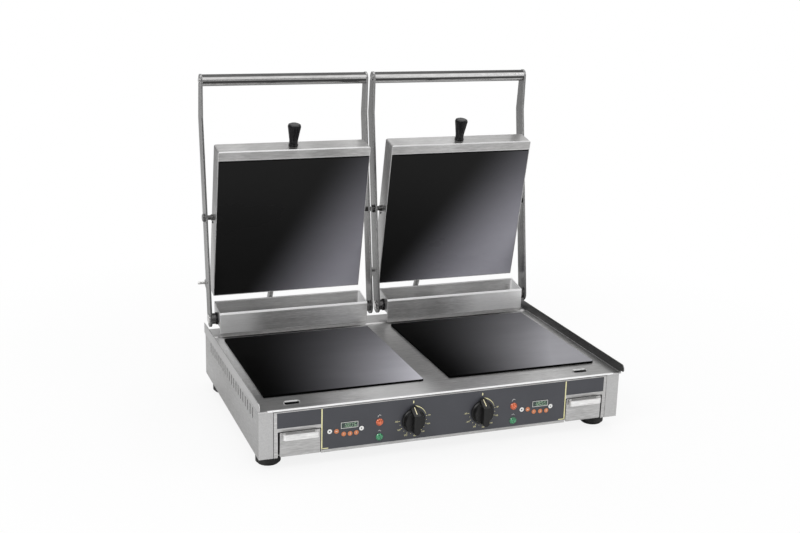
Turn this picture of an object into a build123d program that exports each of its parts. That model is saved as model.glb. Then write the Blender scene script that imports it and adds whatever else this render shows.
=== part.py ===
from build123d import *
import math
import os

os.makedirs("parts", exist_ok=True)

# A double contact grill: a low steel body with two glass cooking plates, and two
# lids that swing down on arms. All sizes are millimetres. X runs to the right,
# Y to the back and Z up, with the origin on the table under the middle.

# Glass plates and what lies under them. The two glasses set the size of the grill.
glass_thick = 4
glass_inner = 26.4
glass_width = 314
glass_side = 24.6
glass_front = 61.3
glass_depth = 336
glass_corner = 4
seal_thick = 0.7
seal_inset = 2.5
window_inset = 9
pan_clearance = 1
pan_depth = 24
recess_depth = 6
recess_wall = 12
ribbon = 1.2
ribbon_tall = 4
ribbon_rows = 9

# Body shell
body_width = 2 * (glass_inner + glass_width + glass_side)
shelf_behind = 20.7
shelf_start = glass_front + glass_depth + shelf_behind
shelf_depth = 52
body_depth = shelf_start + shelf_depth
panel_height = 90
foot_height = 26
sheet = 1.5
front = -281
post_width = 27.5
fold_lip = 10
vent_count = 20
vent_pitch = 19.4
vent_width = 5
vent_length = 22
vent_first = 45
vent_middle = panel_height - 15.5

# Worktop, measured from the body's lower edge
deck_rise = 3
deck_overhang = 3
shelf_rise = 3
hem_height = 2.5
rim_height = 21
rim_reach = 14
rim_gap = 0.5
ear_depth = 14
ear_round = 9
hang_depth = 5
ear_lift = 4
ear_under = 3.5
step_run = 3

# Drains and grease drawers
drain_left = body_width / 2 - 68
drain_right = body_width / 2 - 75
drain_y = 25
drain_length = 28
drain_width = 10
drain_lip = 1.6
drain_lip_tall = 2.6
drawer_x = body_width / 2 - 76.75
drawer_face_width = 75.5
wing_low = panel_height - 33.5
drawer_face_height = wing_low - 10
drawer_face_lift = 1.5
bay_width = 81
bay_height = wing_low - 7
bay_offset = 0.9
drawer_width = 68
drawer_height = drawer_face_height - 14.5
drawer_length = 320
drawer_wall = 1
drawer_proud = 1
guide_gap = 0.4
guide_height = 12
guide_wing = 9
pull_width = 68
pull_tall = 11
pull_reach = 11
pull_drop = 0.8
pull_strip = 1.4
pull_bend = 5

# Front panel
fascia_half = body_width / 2 - post_width - 0.7
fascia_height = panel_height - 2
fascia_flange = 14
overlay_thick = 0.4
overlay_half = drawer_x - 40.75
overlay_low = 5.5
overlay_high = fascia_height - 2
wing_end = fascia_half - 5.8
key_size = 10.5
key_tall = 0.5
window_width = 34
window_height = 13
window_proud = 0.8
module_width = 74
module_height = 48
module_depth = 16
window_gap = 0.2
lamp_x = overlay_half - 111
orange_z = fascia_height - 41
green_z = fascia_height - 70.5
lamp_size = 14
lamp_hole = 11
lamp_depth = 22
lamp_dome = 3.5
knob_x = overlay_half - 177.5
knob_z = fascia_height - 45
knob_size = 46
knob_skirt = 5
knob_reach = 25
knob_gap = 1.2
grip_rib = 13
nose_up = 25.5
nose_round = 3
slant_high = 27.4
slant_low = 16
pointer_wide = 1.4
pointer_deep = 0.6
pointer_start = 5.5
pointer_end = 17
shaft_size = 6
shaft_length = 30
thermostat_size = 34
thermostat_depth = 26
running = 0.08
snug = 0.05
display_spots = (
    (52.6 - overlay_half, fascia_height - 39.25),
    (overlay_half - 54.6, fascia_height - 41.6),
)
key_steps = (
    ((-37.9, -8.95), (-24.8, -9.95), (-10.9, -16.85), (1.2, -17.15), (13.3, -16.85), (23.3, -9.55)),
    ((-38.9, -8.3), (-26.1, -9.2), (-12.6, -15.5), (1, -15.9), (14, -16.1), (22.8, -8.2)),
)

# Lids: one lid stands on each side of the middle
lid_offset = 1.4
lid_x = glass_inner + glass_width / 2 + lid_offset
unit_half = glass_width / 2 + 3.85
housing_half = unit_half + 0.45
housing_front = shelf_start - 6.3
housing_back = housing_front + 54.1
housing_low = panel_height + 14.3
housing_floor = panel_height + 28
housing_front_top = housing_floor + 29.8
housing_back_top = housing_floor + 40.8
lip_fold = 3
axle_y = housing_front + 26.3
axle_z = housing_floor + 12
axle_size = 12
bush_size = 20
bush_flange = 26
bush_flange_thick = 4
bush_inside = 5
sleeve_size = 23
side_gap = 0.3
arm_inside = housing_half + 13.2
arm_thick = 4
hub_round = 17
kink_round = 16
bar_round = 13
bar_size = 24
bar_wall = 1.5
bar_plug = 8
screw_size = 6
head_size = 11
head_thick = 3
cap_size = 20
stop_y = axle_y + 36
stop_z = axle_z + 69
stop_size = 7
stop_lug = 13
stop_out = 15
stop_in = 8
spring_wire = 2.5
spring_radius = 8.2
spring_turns = 10
spring_pitch = 3.6
spring_start = -70
collar_size = 19
collar_thick = 8
anchor_thick = 6
pedestal_short = 21
pedestal_depth = 20
pedestal_sheet = 2
pedestal_inset = 2

# Upper plate, which tilts between the arms
unit_y = axle_y + 35.6
unit_z = axle_z + 38.4
unit_tilt = 12
unit_height = glass_depth - 10
unit_depth = 49
unit_round = 8
unit_wall = 1.2
unit_flange = 20
upper_gap = 0.1
upper_pan_depth = 26
pivot_up = 168.8
pivot_back = 31.2
pin_size = 10
pin_gap = 0.1
pin_head = 17
pin_head_thick = 4
pin_nut = 13
pin_nut_thick = 4
screw_below = 11
small_screw = 5
grip_place = 23
grip_low = 17.5
grip_high = 27.5
grip_tall = 43.5
grip_foot = 20
grip_foot_thick = 3
flute_count = 12
flute_size = 4
flute_sink = 1
kink_y = axle_y + 62
kink_z = unit_z + unit_height + 49.6
bar_y = axle_y + 57
bar_z = unit_z + unit_height + 125.6

# Armoured conduits from the upper plates to the back of the body
conduit_size = 12.5
conduit_left = -lid_x - 15.2
conduit_right = lid_x - 36.3
gland_up = 34
gland_out = 19
gland_size = 18
gland_nut = 24
gland_nut_thick = 5
gland_drop = 18
gland_bulge = 0.8
rear_gland_z = 45
rear_gland_out = 16
first_run = 14
first_turn = 15
first_bend = 40
second_bend = 45

# Inlet for the mains cord, terminal block and feet
inlet_x = body_width / 2 - 47
inlet_z = 40
inlet_size = 16
inlet_out = 20
inlet_nut = 28
block_width = 60
block_depth = 26
block_height = 22
foot_x = body_width / 2 - 29
foot_front_y = 47
foot_back_y = body_depth - foot_front_y
foot_size = 47
foot_round = 4
foot_neck = 34

# Levels that follow from the sizes above
low = foot_height
panel_top = low + panel_height
deck_top = panel_top + deck_rise
shelf_top = deck_top + shelf_rise
glass_low = deck_top + seal_thick
glass_top = glass_low + glass_thick
back = front + body_depth
inside = body_width / 2 - sheet
glass_middle = glass_inner + glass_width / 2
hinge_y = front + axle_y
hinge_z = low + axle_z
sides = ((-1, "left"), (1, "right"))
key_spots = [
    (spot[0] + step[0], spot[1] + step[1])
    for spot, steps in zip(display_spots, key_steps)
    for step in steps
]


def save(builder, label):
    # Name the finished piece and write it to its own file.
    builder.part.label = label
    export_step(builder.part, "parts/" + label + ".step")


def tangent_outline(first, first_round, second, second_round):
    # Corners of the straight-sided strip that touches two circles.
    across = second[0] - first[0]
    along = second[1] - first[1]
    reach = math.hypot(across, along)
    line = math.atan2(along, across)
    lean = math.acos((first_round - second_round) / reach)
    corners = []
    for centre, size, turn in (
        (first, first_round, lean),
        (second, second_round, lean),
        (second, second_round, -lean),
        (first, first_round, -lean),
    ):
        corners.append(
            (centre[0] + size * math.cos(line + turn), centre[1] + size * math.sin(line + turn))
        )
    return corners


def side_panel(side):
    # One folded sheet: the side wall, the front post and a lip behind the post.
    outer = side * body_width / 2
    inner = side * inside
    post = side * (body_width / 2 - post_width)
    with BuildPart() as panel:
        with BuildSketch(Plane.XY.offset(low)):
            with BuildLine():
                Polyline(
                    (outer, front),
                    (outer, back),
                    (inner, back),
                    (inner, front + sheet),
                    (post + side * sheet, front + sheet),
                    (post + side * sheet, front + fold_lip),
                    (post, front + fold_lip),
                    (post, front),
                    close=True,
                )
            make_face()
        extrude(amount=panel_height)
        corner = panel.edges().filter_by(Axis.Z).filter_by_position(
            Axis.Y, front - 0.01, front + 0.01
        )
        fillet(corner, sheet * 0.8)
        with BuildSketch(Plane.YZ.offset(side * body_width / 2)):
            middle = front + vent_first + vent_pitch * (vent_count - 1) / 2
            with Locations((middle, low + vent_middle)):
                with GridLocations(vent_pitch, vent_length, vent_count, 1):
                    SlotOverall(vent_length, vent_width, rotation=90)
        extrude(amount=-side * sheet * 2, mode=Mode.SUBTRACT)
    return panel


for side, name in sides:
    save(side_panel(side), "side_panel_" + name)

# The bottom pan closes the body from below and carries the feet and the drawer guides.
with BuildPart() as base_pan:
    with BuildSketch(Plane.XY.offset(low)):
        with Locations((0, (front + fold_lip + back - sheet) / 2)):
            Rectangle(2 * inside, body_depth - fold_lip - sheet)
    extrude(amount=sheet)
    with BuildSketch(Plane.XY.offset(low)):
        with Locations((0, back - body_depth / 3)):
            with GridLocations(vent_pitch, 2 * vent_length, 12, 3):
                SlotOverall(vent_length, vent_width, rotation=90)
        for side, name in sides:
            for foot_y in (foot_front_y, foot_back_y):
                with Locations((side * foot_x, front + foot_y)):
                    Circle(screw_size / 2 + running)
    extrude(amount=sheet, mode=Mode.SUBTRACT)
save(base_pan, "base_pan")

# The back sheet has a hole for each conduit and one for the mains inlet.
with BuildPart() as rear_panel:
    with BuildSketch(Plane.XZ.offset(-back)):
        with Locations((0, low + panel_height / 2)):
            Rectangle(2 * inside, panel_height)
        for place in (conduit_left, conduit_right):
            with Locations((place, low + rear_gland_z)):
                Circle(gland_size / 2 + snug, mode=Mode.SUBTRACT)
        with Locations((inlet_x, low + inlet_z)):
            Circle(inlet_size / 2 + snug, mode=Mode.SUBTRACT)
        with Locations((0, low + vent_middle)):
            with GridLocations(vent_pitch, vent_length, 8, 1):
                SlotOverall(vent_length, vent_width, rotation=90, mode=Mode.SUBTRACT)
    extrude(amount=sheet)
save(rear_panel, "rear_panel")

# Feet: turned rubber, each held by one screw from inside the body.
with BuildPart() as feet:
    for side, name in sides:
        for foot_y in (foot_front_y, foot_back_y):
            spot = Plane((side * foot_x, front + foot_y, 0), x_dir=(1, 0, 0), z_dir=(0, -1, 0))
            with BuildSketch(spot):
                with BuildLine():
                    Polyline(
                        (0, 0),
                        (foot_size / 2 - foot_round, 0),
                        (foot_size / 2, foot_round),
                        (foot_size / 2, foot_height / 2),
                        (foot_neck / 2, foot_height),
                        (0, foot_height),
                        close=True,
                    )
                make_face()
            revolve(axis=Axis((side * foot_x, front + foot_y, 0), (0, 0, 1)))
    for side, name in sides:
        for foot_y in (foot_front_y, foot_back_y):
            with BuildSketch(Plane.XY.offset(foot_height)):
                with Locations((side * foot_x, front + foot_y)):
                    Circle(screw_size / 2)
            extrude(amount=-foot_height * 0.6, mode=Mode.SUBTRACT)
save(feet, "feet")

with BuildPart() as foot_screws:
    for side, name in sides:
        for foot_y in (foot_front_y, foot_back_y):
            with BuildSketch(Plane.XY.offset(low - foot_height * 0.6)):
                with Locations((side * foot_x, front + foot_y)):
                    Circle(screw_size / 2)
            extrude(amount=foot_height * 0.6 + sheet)
            with BuildSketch(Plane.XY.offset(low + sheet)):
                with Locations((side * foot_x, front + foot_y)):
                    Circle(head_size / 2)
            extrude(amount=head_thick)
save(foot_screws, "foot_screws")

# Front sheet, folded back along the top and bottom, open for the two drawers.
with BuildPart() as front_fascia:
    with BuildSketch(Plane.YZ.offset(-fascia_half)):
        with BuildLine():
            Polyline(
                (front, low),
                (front, low + fascia_height),
                (front + fascia_flange, low + fascia_height),
                (front + fascia_flange, low + fascia_height - sheet),
                (front + sheet, low + fascia_height - sheet),
                (front + sheet, low + sheet),
                (front + fold_lip, low + sheet),
                (front + fold_lip, low),
                close=True,
            )
        make_face()
    extrude(amount=2 * fascia_half)
    with BuildSketch(Plane.XZ.offset(-front)):
        for side, name in sides:
            with Locations((side * (drawer_x + bay_offset), low + bay_height / 2)):
                Rectangle(bay_width, bay_height)
            with Locations((side * knob_x, low + knob_z)):
                Circle(shaft_size / 2 + knob_gap)
            with Locations((side * lamp_x, low + orange_z), (side * lamp_x, low + green_z)):
                Circle(lamp_hole / 2)
    extrude(amount=-fold_lip, mode=Mode.SUBTRACT)
    with BuildSketch(Plane.XZ.offset(-front)):
        for spot in display_spots:
            with Locations((spot[0], low + spot[1])):
                Rectangle(window_width, window_height)
    extrude(amount=-sheet, mode=Mode.SUBTRACT)
save(front_fascia, "front_fascia")

# Printed film over the fascia: full height in the middle, narrow wings over the
# drawers, openings for lamps and displays, and the raised touch keys.
with BuildPart() as control_overlay:
    with BuildSketch(Plane.XZ.offset(-front)):
        with Locations((0, low + (overlay_low + overlay_high) / 2)):
            Rectangle(2 * overlay_half, overlay_high - overlay_low)
        with Locations((0, low + (wing_low + overlay_high) / 2)):
            Rectangle(2 * wing_end, overlay_high - wing_low)
        for side, name in sides:
            with Locations((side * knob_x, low + knob_z)):
                Circle(shaft_size / 2 + knob_gap, mode=Mode.SUBTRACT)
            with Locations((side * lamp_x, low + orange_z), (side * lamp_x, low + green_z)):
                Circle(lamp_hole / 2, mode=Mode.SUBTRACT)
        for spot in display_spots:
            with Locations((spot[0], low + spot[1])):
                Rectangle(window_width, window_height, mode=Mode.SUBTRACT)
    extrude(amount=overlay_thick)
    with BuildSketch(Plane.XZ.offset(-front + overlay_thick)):
        for spot in key_spots:
            with Locations((spot[0], low + spot[1])):
                Circle(key_size / 2)
    extrude(amount=key_tall)
save(control_overlay, "control_overlay")

# Timer modules: a box behind the fascia whose display fills the opening in front.
with BuildPart() as timer_modules:
    for spot in display_spots:
        with BuildSketch(Plane.XZ.offset(-front - sheet)):
            with Locations((spot[0], low + spot[1])):
                Rectangle(module_width, module_height)
        extrude(amount=-module_depth)
        with BuildSketch(Plane.XZ.offset(-front - sheet)):
            with Locations((spot[0], low + spot[1])):
                Rectangle(window_width - 2 * window_gap, window_height - 2 * window_gap)
        extrude(amount=sheet + overlay_thick + window_proud)
save(timer_modules, "timer_modules")


def pilot_lamps(height):
    # Domed lens in front of the film, with its lamp body through the hole behind.
    face = front - overlay_thick
    with BuildPart() as lamps:
        for side, name in sides:
            centre = side * lamp_x
            with BuildSketch(Plane.XY.offset(low + height)):
                with BuildLine():
                    Polyline(
                        (centre, face - lamp_dome),
                        (centre, face + lamp_depth),
                        (centre + lamp_hole / 2 - window_gap, face + lamp_depth),
                        (centre + lamp_hole / 2 - window_gap, face),
                        (centre + lamp_size / 2, face),
                        (centre + lamp_size / 2, face - lamp_dome * 0.3),
                        (centre + lamp_size * 0.4, face - lamp_dome * 0.75),
                        (centre + lamp_size * 0.22, face - lamp_dome),
                        close=True,
                    )
                make_face()
            revolve(axis=Axis((centre, front, low + height), (0, 1, 0)))
    return lamps


save(pilot_lamps(orange_z), "pilot_lamps_orange")
save(pilot_lamps(green_z), "pilot_lamps_green")

# Thermostats: one round capsule behind the fascia for each knob, bored for its shaft.
with BuildPart() as thermostats:
    for side, name in sides:
        with BuildSketch(Plane.XZ.offset(-front - sheet)):
            with Locations((side * knob_x, low + knob_z)):
                Circle(thermostat_size / 2)
        extrude(amount=-thermostat_depth)
        with BuildSketch(Plane.XZ.offset(-front - sheet)):
            with Locations((side * knob_x, low + knob_z)):
                Circle(shaft_size / 2 + running)
        extrude(amount=-shaft_length / 2 - knob_gap, mode=Mode.SUBTRACT)
save(thermostats, "thermostats")


def knob(side):
    # A skirt drawn out to a nose at the top, a shallow cone, and a thick finger bar whose
    # upper end slopes forward from the nose with the pointer's groove in it.
    rear = front - overlay_thick - knob_gap
    crown = front - knob_reach
    brim = rear - knob_skirt * 0.6
    middle = (side * knob_x, low + knob_z)
    nose = (side * knob_x, low + knob_z + nose_up)
    fall = (slant_high - slant_low) / (brim - crown)
    with BuildPart() as turned:
        with BuildSketch(Plane.XY.offset(low + knob_z)):
            with BuildLine():
                Polyline(
                    (side * knob_x, rear),
                    (side * knob_x + knob_size / 2, rear),
                    (side * knob_x + knob_size / 2, rear - knob_skirt * 0.6),
                    (side * knob_x + knob_size * 0.46, rear - knob_skirt),
                    (side * knob_x + knob_size * 0.41, rear - knob_skirt - 7),
                    (side * knob_x, rear - knob_skirt - 8),
                    close=True,
                )
            make_face()
        revolve(axis=Axis((side * knob_x, front, low + knob_z), (0, 1, 0)))
        with BuildSketch(Plane.XZ.offset(-rear)):
            with BuildLine():
                Polyline(*tangent_outline(middle, knob_size / 2, nose, nose_round), close=True)
            make_face()
            with Locations(nose):
                Circle(nose_round)
        extrude(amount=knob_skirt * 0.6)
        top = nose_up + nose_round
        foot = knob_size * 0.47
        with BuildSketch(Plane.XZ.offset(-crown)):
            with Locations((side * knob_x, low + knob_z + (top - foot) / 2)):
                SlotOverall(top + foot, grip_rib, rotation=90)
        extrude(amount=-(rear - knob_skirt / 2 - crown), taper=-4)
        with BuildSketch(Plane.YZ.offset(side * knob_x - grip_rib)):
            with BuildLine():
                Polyline(
                    (brim, low + knob_z + slant_high),
                    (crown - sheet, low + knob_z + slant_low - sheet * fall),
                    (crown - sheet, low + knob_z + 2 * top),
                    (brim, low + knob_z + 2 * top),
                    close=True,
                )
            make_face()
        extrude(amount=2 * grip_rib, mode=Mode.SUBTRACT)
        tip = turned.faces().sort_by(Axis.Y)[0]
        fillet(tip.edges(), 1)
        with BuildSketch(Plane.YZ.offset(side * knob_x - pointer_wide / 2)):
            start = slant_high - fall * (brim - (front - pointer_start))
            end = slant_high - fall * (brim - (front - pointer_end))
            with BuildLine():
                Polyline(
                    (front - pointer_start, low + knob_z + start - pointer_deep),
                    (front - pointer_end, low + knob_z + end - pointer_deep),
                    (front - pointer_end, low + knob_z + end + pointer_deep),
                    (front - pointer_start, low + knob_z + start + pointer_deep),
                    close=True,
                )
            make_face()
        extrude(amount=pointer_wide, mode=Mode.SUBTRACT)
        with BuildSketch(Plane.XZ.offset(-rear)):
            with Locations((side * knob_x, low + knob_z)):
                Circle(shaft_size / 2 + snug)
        extrude(amount=shaft_length / 2, mode=Mode.SUBTRACT)
    return turned


def knob_shaft(side):
    # The spindle runs from inside the knob into the thermostat behind the panel.
    rear = front - overlay_thick - knob_gap
    with BuildPart() as spindle:
        with BuildSketch(Plane.XZ.offset(-rear + shaft_length / 2)):
            with Locations((side * knob_x, low + knob_z)):
                Circle(shaft_size / 2)
        extrude(amount=-shaft_length)
    return spindle


for side, name in sides:
    save(knob(side), "knob_" + name)
    save(knob_shaft(side), "knob_shaft_" + name)

# Worktop: one folded sheet with a front hem, a raised shelf behind for the lids,
# upright side rims that stand forward as rounded ears, two windows and two drains
# with a lip that stands up behind each.
tray_back = back + rim_gap
with BuildPart() as worktop_tray:
    with BuildSketch(Plane.YZ.offset(-body_width / 2 - rim_gap)):
        with BuildLine():
            Polyline(
                (front - deck_overhang, deck_top - hem_height),
                (front - deck_overhang, deck_top),
                (front + shelf_start, deck_top),
                (front + shelf_start + step_run, shelf_top),
                (tray_back + sheet, shelf_top),
                (tray_back + sheet, panel_top - hang_depth),
                (tray_back, panel_top - hang_depth),
                (tray_back, shelf_top - sheet),
                (front + shelf_start + step_run + sheet / 2, shelf_top - sheet),
                (front + shelf_start + sheet / 2, deck_top - sheet),
                (front - deck_overhang + sheet, deck_top - sheet),
                (front - deck_overhang + sheet, deck_top - hem_height),
                close=True,
            )
        make_face()
    extrude(amount=body_width + 2 * rim_gap)
    nose = worktop_tray.edges().filter_by(Axis.X).filter_by_position(
        Axis.Y, front - deck_overhang - 0.01, front - deck_overhang + 0.01
    ).sort_by(Axis.Z)[-1]
    fillet(nose, sheet * 0.7)
    for side, name in sides:
        with BuildSketch(Plane.YZ.offset(side * (body_width / 2 + rim_gap))) as rim:
            with BuildLine():
                Polyline(
                    (front - deck_overhang, deck_top - hem_height),
                    (front - deck_overhang, deck_top + ear_lift),
                    (front - ear_depth, deck_top + ear_lift),
                    (front - ear_depth, panel_top + rim_height),
                    (tray_back + sheet, panel_top + rim_height),
                    (tray_back + sheet, deck_top - hem_height),
                    close=True,
                )
            make_face()
            tips = rim.vertices().sort_by(Axis.X)[0:2].sort_by(Axis.Y)
            fillet(tips[1], ear_round)
            fillet(rim.vertices().sort_by(Axis.Y).sort_by(Axis.X)[0], ear_under)
        extrude(amount=side * sheet)
        with BuildSketch(Plane.XY.offset(deck_top - sheet)):
            with Locations((side * (inside - sheet / 2), (front + shelf_start) / 2 + front / 2)):
                Rectangle(sheet, shelf_start - 4 * fold_lip)
        extrude(amount=-(hang_depth + deck_rise - sheet))
        with BuildSketch(Plane.XY.offset(deck_top)):
            with Locations((side * glass_middle, front + glass_front + glass_depth / 2)):
                Rectangle(glass_width - 2 * window_inset, glass_depth - 2 * window_inset)
        extrude(amount=-2 * sheet, mode=Mode.SUBTRACT)
        drain_x = -drain_left if side < 0 else drain_right
        with BuildSketch(Plane.XY.offset(deck_top)):
            with Locations((drain_x, front + drain_y)):
                SlotOverall(drain_length + 2 * drain_lip, drain_width + 2 * drain_lip)
            with Locations((drain_x, front + drain_y - drain_width)):
                Rectangle(2 * drain_length, 2 * drain_width, mode=Mode.SUBTRACT)
        extrude(amount=drain_lip_tall)
        with BuildSketch(Plane.XY.offset(deck_top + drain_lip_tall)):
            with Locations((drain_x, front + drain_y)):
                SlotOverall(drain_length, drain_width)
        extrude(amount=-sheet - drain_lip_tall, mode=Mode.SUBTRACT)
save(worktop_tray, "worktop_tray")


def lower_glass(side):
    # Toughened cooking glass with eased corners and a small bevel all round on top.
    with BuildPart() as plate:
        with BuildSketch(Plane.XY.offset(glass_low)):
            with Locations((side * glass_middle, front + glass_front + glass_depth / 2)):
                RectangleRounded(glass_width, glass_depth, glass_corner)
        extrude(amount=glass_thick)
        chamfer(plate.faces().sort_by(Axis.Z)[-1].edges(), glass_thick / 6)
    return plate


for side, name in sides:
    save(lower_glass(side), "lower_glass_" + name)

# Black seal between each glass and the deck.
with BuildPart() as glass_seals:
    for side, name in sides:
        with BuildSketch(Plane.XY.offset(deck_top)):
            with Locations((side * glass_middle, front + glass_front + glass_depth / 2)):
                RectangleRounded(
                    glass_width - 2 * seal_inset, glass_depth - 2 * seal_inset, glass_corner
                )
                Rectangle(
                    glass_width - 2 * window_inset,
                    glass_depth - 2 * window_inset,
                    mode=Mode.SUBTRACT,
                )
        extrude(amount=seal_thick)
save(glass_seals, "glass_seals")

# Insulating pan pressed up under each glass, with a shallow recess for the element.
pan_wide = glass_width - 2 * window_inset - 2 * pan_clearance
pan_long = glass_depth - 2 * window_inset - 2 * pan_clearance
with BuildPart() as heater_pans:
    for side, name in sides:
        with BuildSketch(Plane.XY.offset(glass_low)):
            with Locations((side * glass_middle, front + glass_front + glass_depth / 2)):
                Rectangle(pan_wide, pan_long)
        extrude(amount=-pan_depth)
        with BuildSketch(Plane.XY.offset(glass_low)):
            with Locations((side * glass_middle, front + glass_front + glass_depth / 2)):
                Rectangle(pan_wide - 2 * recess_wall, pan_long - 2 * recess_wall)
        extrude(amount=-recess_depth, mode=Mode.SUBTRACT)
save(heater_pans, "heater_pans")


def ribbon_outline(wide, long):
    # A flat ribbon folded back and forth over the recess, drawn about its middle.
    step = long / ribbon_rows
    for row in range(ribbon_rows):
        place = (row - (ribbon_rows - 1) / 2) * step
        with Locations((0, place)):
            Rectangle(wide, ribbon)
        if row < ribbon_rows - 1:
            end = wide / 2 - ribbon / 2
            with Locations((end if row % 2 == 0 else -end, place + step / 2)):
                Rectangle(ribbon, step + ribbon)


with BuildPart() as heater_elements:
    for side, name in sides:
        middle = Plane((side * glass_middle, front + glass_front + glass_depth / 2, 0))
        with BuildSketch(middle.offset(glass_low - recess_depth)):
            ribbon_outline(pan_wide - 3 * recess_wall, pan_long - 3 * recess_wall)
        extrude(amount=ribbon_tall)
save(heater_elements, "heater_elements")

# Grease drawers: a folded box under each drain with a flat face in the front panel.
drawer_low = low + 2 * sheet + side_gap
drawer_face_y = front - drawer_proud


def drawer(side):
    box_front = drawer_face_y + sheet
    with BuildPart() as body:
        with BuildSketch(Plane.XY.offset(drawer_low)):
            with Locations((side * drawer_x, box_front + drawer_length / 2)):
                Rectangle(drawer_width, drawer_length)
        extrude(amount=drawer_height)
        top = body.faces().sort_by(Axis.Z)[-1]
        offset(amount=-drawer_wall, openings=top)
        with BuildSketch(Plane.XZ.offset(-drawer_face_y)):
            with Locations(
                (side * drawer_x, low + drawer_face_lift + drawer_face_height / 2)
            ):
                RectangleRounded(drawer_face_width, drawer_face_height, sheet)
        extrude(amount=-sheet)
    return body


def drawer_pull(side):
    # A bent strip: two feet on the drawer's face and a bow between them.
    middle = side * drawer_x
    half = pull_width / 2
    foot = pull_reach * 0.6
    top = low + drawer_face_lift + drawer_face_height - pull_drop
    with BuildPart() as pull:
        with BuildSketch(Plane.XY.offset(top - pull_tall)):
            with BuildLine():
                FilletPolyline(
                    (middle - half + foot, drawer_face_y),
                    (middle - half, drawer_face_y),
                    (middle - half, drawer_face_y - pull_reach),
                    (middle + half, drawer_face_y - pull_reach),
                    (middle + half, drawer_face_y),
                    (middle + half - foot, drawer_face_y),
                    radius=pull_bend,
                )
                offset(amount=pull_strip, side=Side.LEFT)
            make_face()
        extrude(amount=pull_tall)
    return pull


for side, name in sides:
    save(drawer(side), "drawer_" + name)
    save(drawer_pull(side), "drawer_handle_" + name)

# Angle guides on the bottom pan carry and steer the drawers.
with BuildPart() as drawer_guides:
    for side, name in sides:
        for edge in (-1, 1):
            wall = side * drawer_x + edge * (drawer_width / 2 + guide_gap)
            with BuildSketch(Plane.XZ.offset(-front - fold_lip)):
                with BuildLine():
                    Polyline(
                        (wall, low + 2 * sheet),
                        (wall, low + sheet + guide_height),
                        (wall + edge * sheet, low + sheet + guide_height),
                        (wall + edge * sheet, low + sheet),
                        (wall - edge * guide_wing, low + sheet),
                        (wall - edge * guide_wing, low + 2 * sheet),
                        close=True,
                    )
                make_face()
            extrude(amount=-drawer_length)
save(drawer_guides, "drawer_guides")

# Mains side: a terminal block on the pan and a cord gland through the back.
with BuildPart() as terminal_block:
    with BuildSketch(Plane.XY.offset(low + sheet)):
        with Locations((inlet_x - block_width, back - 2 * block_depth)):
            Rectangle(block_width, block_depth)
    extrude(amount=block_height)
    with BuildSketch(Plane.XY.offset(low + sheet + block_height)):
        with Locations((inlet_x - block_width, back - 2 * block_depth)):
            with GridLocations(block_width / 6, block_depth / 2, 5, 2):
                Circle(block_depth / 9)
    extrude(amount=-block_height / 2, mode=Mode.SUBTRACT)
save(terminal_block, "terminal_block")

with BuildPart() as cord_gland:
    with BuildSketch(Plane.XZ.offset(-back)):
        with Locations((inlet_x, low + inlet_z)):
            RegularPolygon(inlet_nut / 2, 6)
    extrude(amount=-inlet_out / 4)
    with BuildSketch(Plane.XZ.offset(-back - inlet_out / 4)):
        with Locations((inlet_x, low + inlet_z)):
            Circle(inlet_size * 0.7)
    extrude(amount=-inlet_out * 3 / 4, taper=12)
    with BuildSketch(Plane.XZ.offset(-back + sheet)):
        with Locations((inlet_x, low + inlet_z)):
            Circle(inlet_size / 2)
    extrude(amount=-sheet)
    with BuildSketch(Plane.XZ.offset(-back + sheet)):
        with Locations((inlet_x, low + inlet_z)):
            RegularPolygon(inlet_nut / 2, 6)
    extrude(amount=inlet_out / 4)
    with BuildSketch(Plane.XZ.offset(-back - inlet_out)):
        with Locations((inlet_x, low + inlet_z)):
            Circle(inlet_size / 4)
    extrude(amount=inlet_out * 2, mode=Mode.SUBTRACT)
save(cord_gland, "cord_gland")

with BuildPart() as conduit_glands:
    for place in (conduit_left, conduit_right):
        with BuildSketch(Plane.XZ.offset(-back + sheet)):
            with Locations((place, low + rear_gland_z)):
                Circle(gland_size / 2)
        extrude(amount=-sheet - rear_gland_out)
        for plane in (Plane.XZ.offset(-back), Plane.XZ.offset(-back + sheet + gland_nut_thick)):
            with BuildSketch(plane):
                with Locations((place, low + rear_gland_z)):
                    RegularPolygon(gland_nut / 2, 6)
            extrude(amount=-gland_nut_thick)
save(conduit_glands, "conduit_glands")


def spring_housing(side):
    # An open trough with a skirt below its floor, the axle bushed in both ends.
    left = side * lid_x - housing_half
    y0 = front + housing_front
    y1 = front + housing_back
    with BuildPart() as trough:
        with BuildSketch(Plane.YZ.offset(left)):
            with BuildLine():
                Polyline(
                    (y0, low + housing_low),
                    (y0, low + housing_front_top),
                    (y1, low + housing_back_top),
                    (y1, low + housing_floor),
                    (y0 + sheet, low + housing_floor),
                    (y0 + sheet, low + housing_low),
                    close=True,
                )
            make_face()
        extrude(amount=2 * housing_half)
        with BuildSketch(Plane.YZ.offset(left + sheet)):
            with BuildLine():
                Polyline(
                    (y0 + sheet, low + housing_floor + sheet),
                    (y0 + sheet, low + housing_front_top - sheet),
                    (y0 + lip_fold, low + housing_front_top - sheet),
                    (y0 + lip_fold, low + housing_back_top + sheet),
                    (y1 - lip_fold, low + housing_back_top + sheet),
                    (y1 - lip_fold, low + housing_back_top - 2 * sheet),
                    (y1 - sheet, low + housing_back_top - 2 * sheet),
                    (y1 - sheet, low + housing_floor + sheet),
                    close=True,
                )
            make_face()
        extrude(amount=2 * (housing_half - sheet), mode=Mode.SUBTRACT)
        with BuildSketch(Plane.YZ.offset(left)):
            with Locations((hinge_y, hinge_z)):
                Circle(bush_size / 2 + snug)
        extrude(amount=2 * housing_half, mode=Mode.SUBTRACT)
    return trough


for side, name in sides:
    save(spring_housing(side), "spring_housing_" + name)

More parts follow.
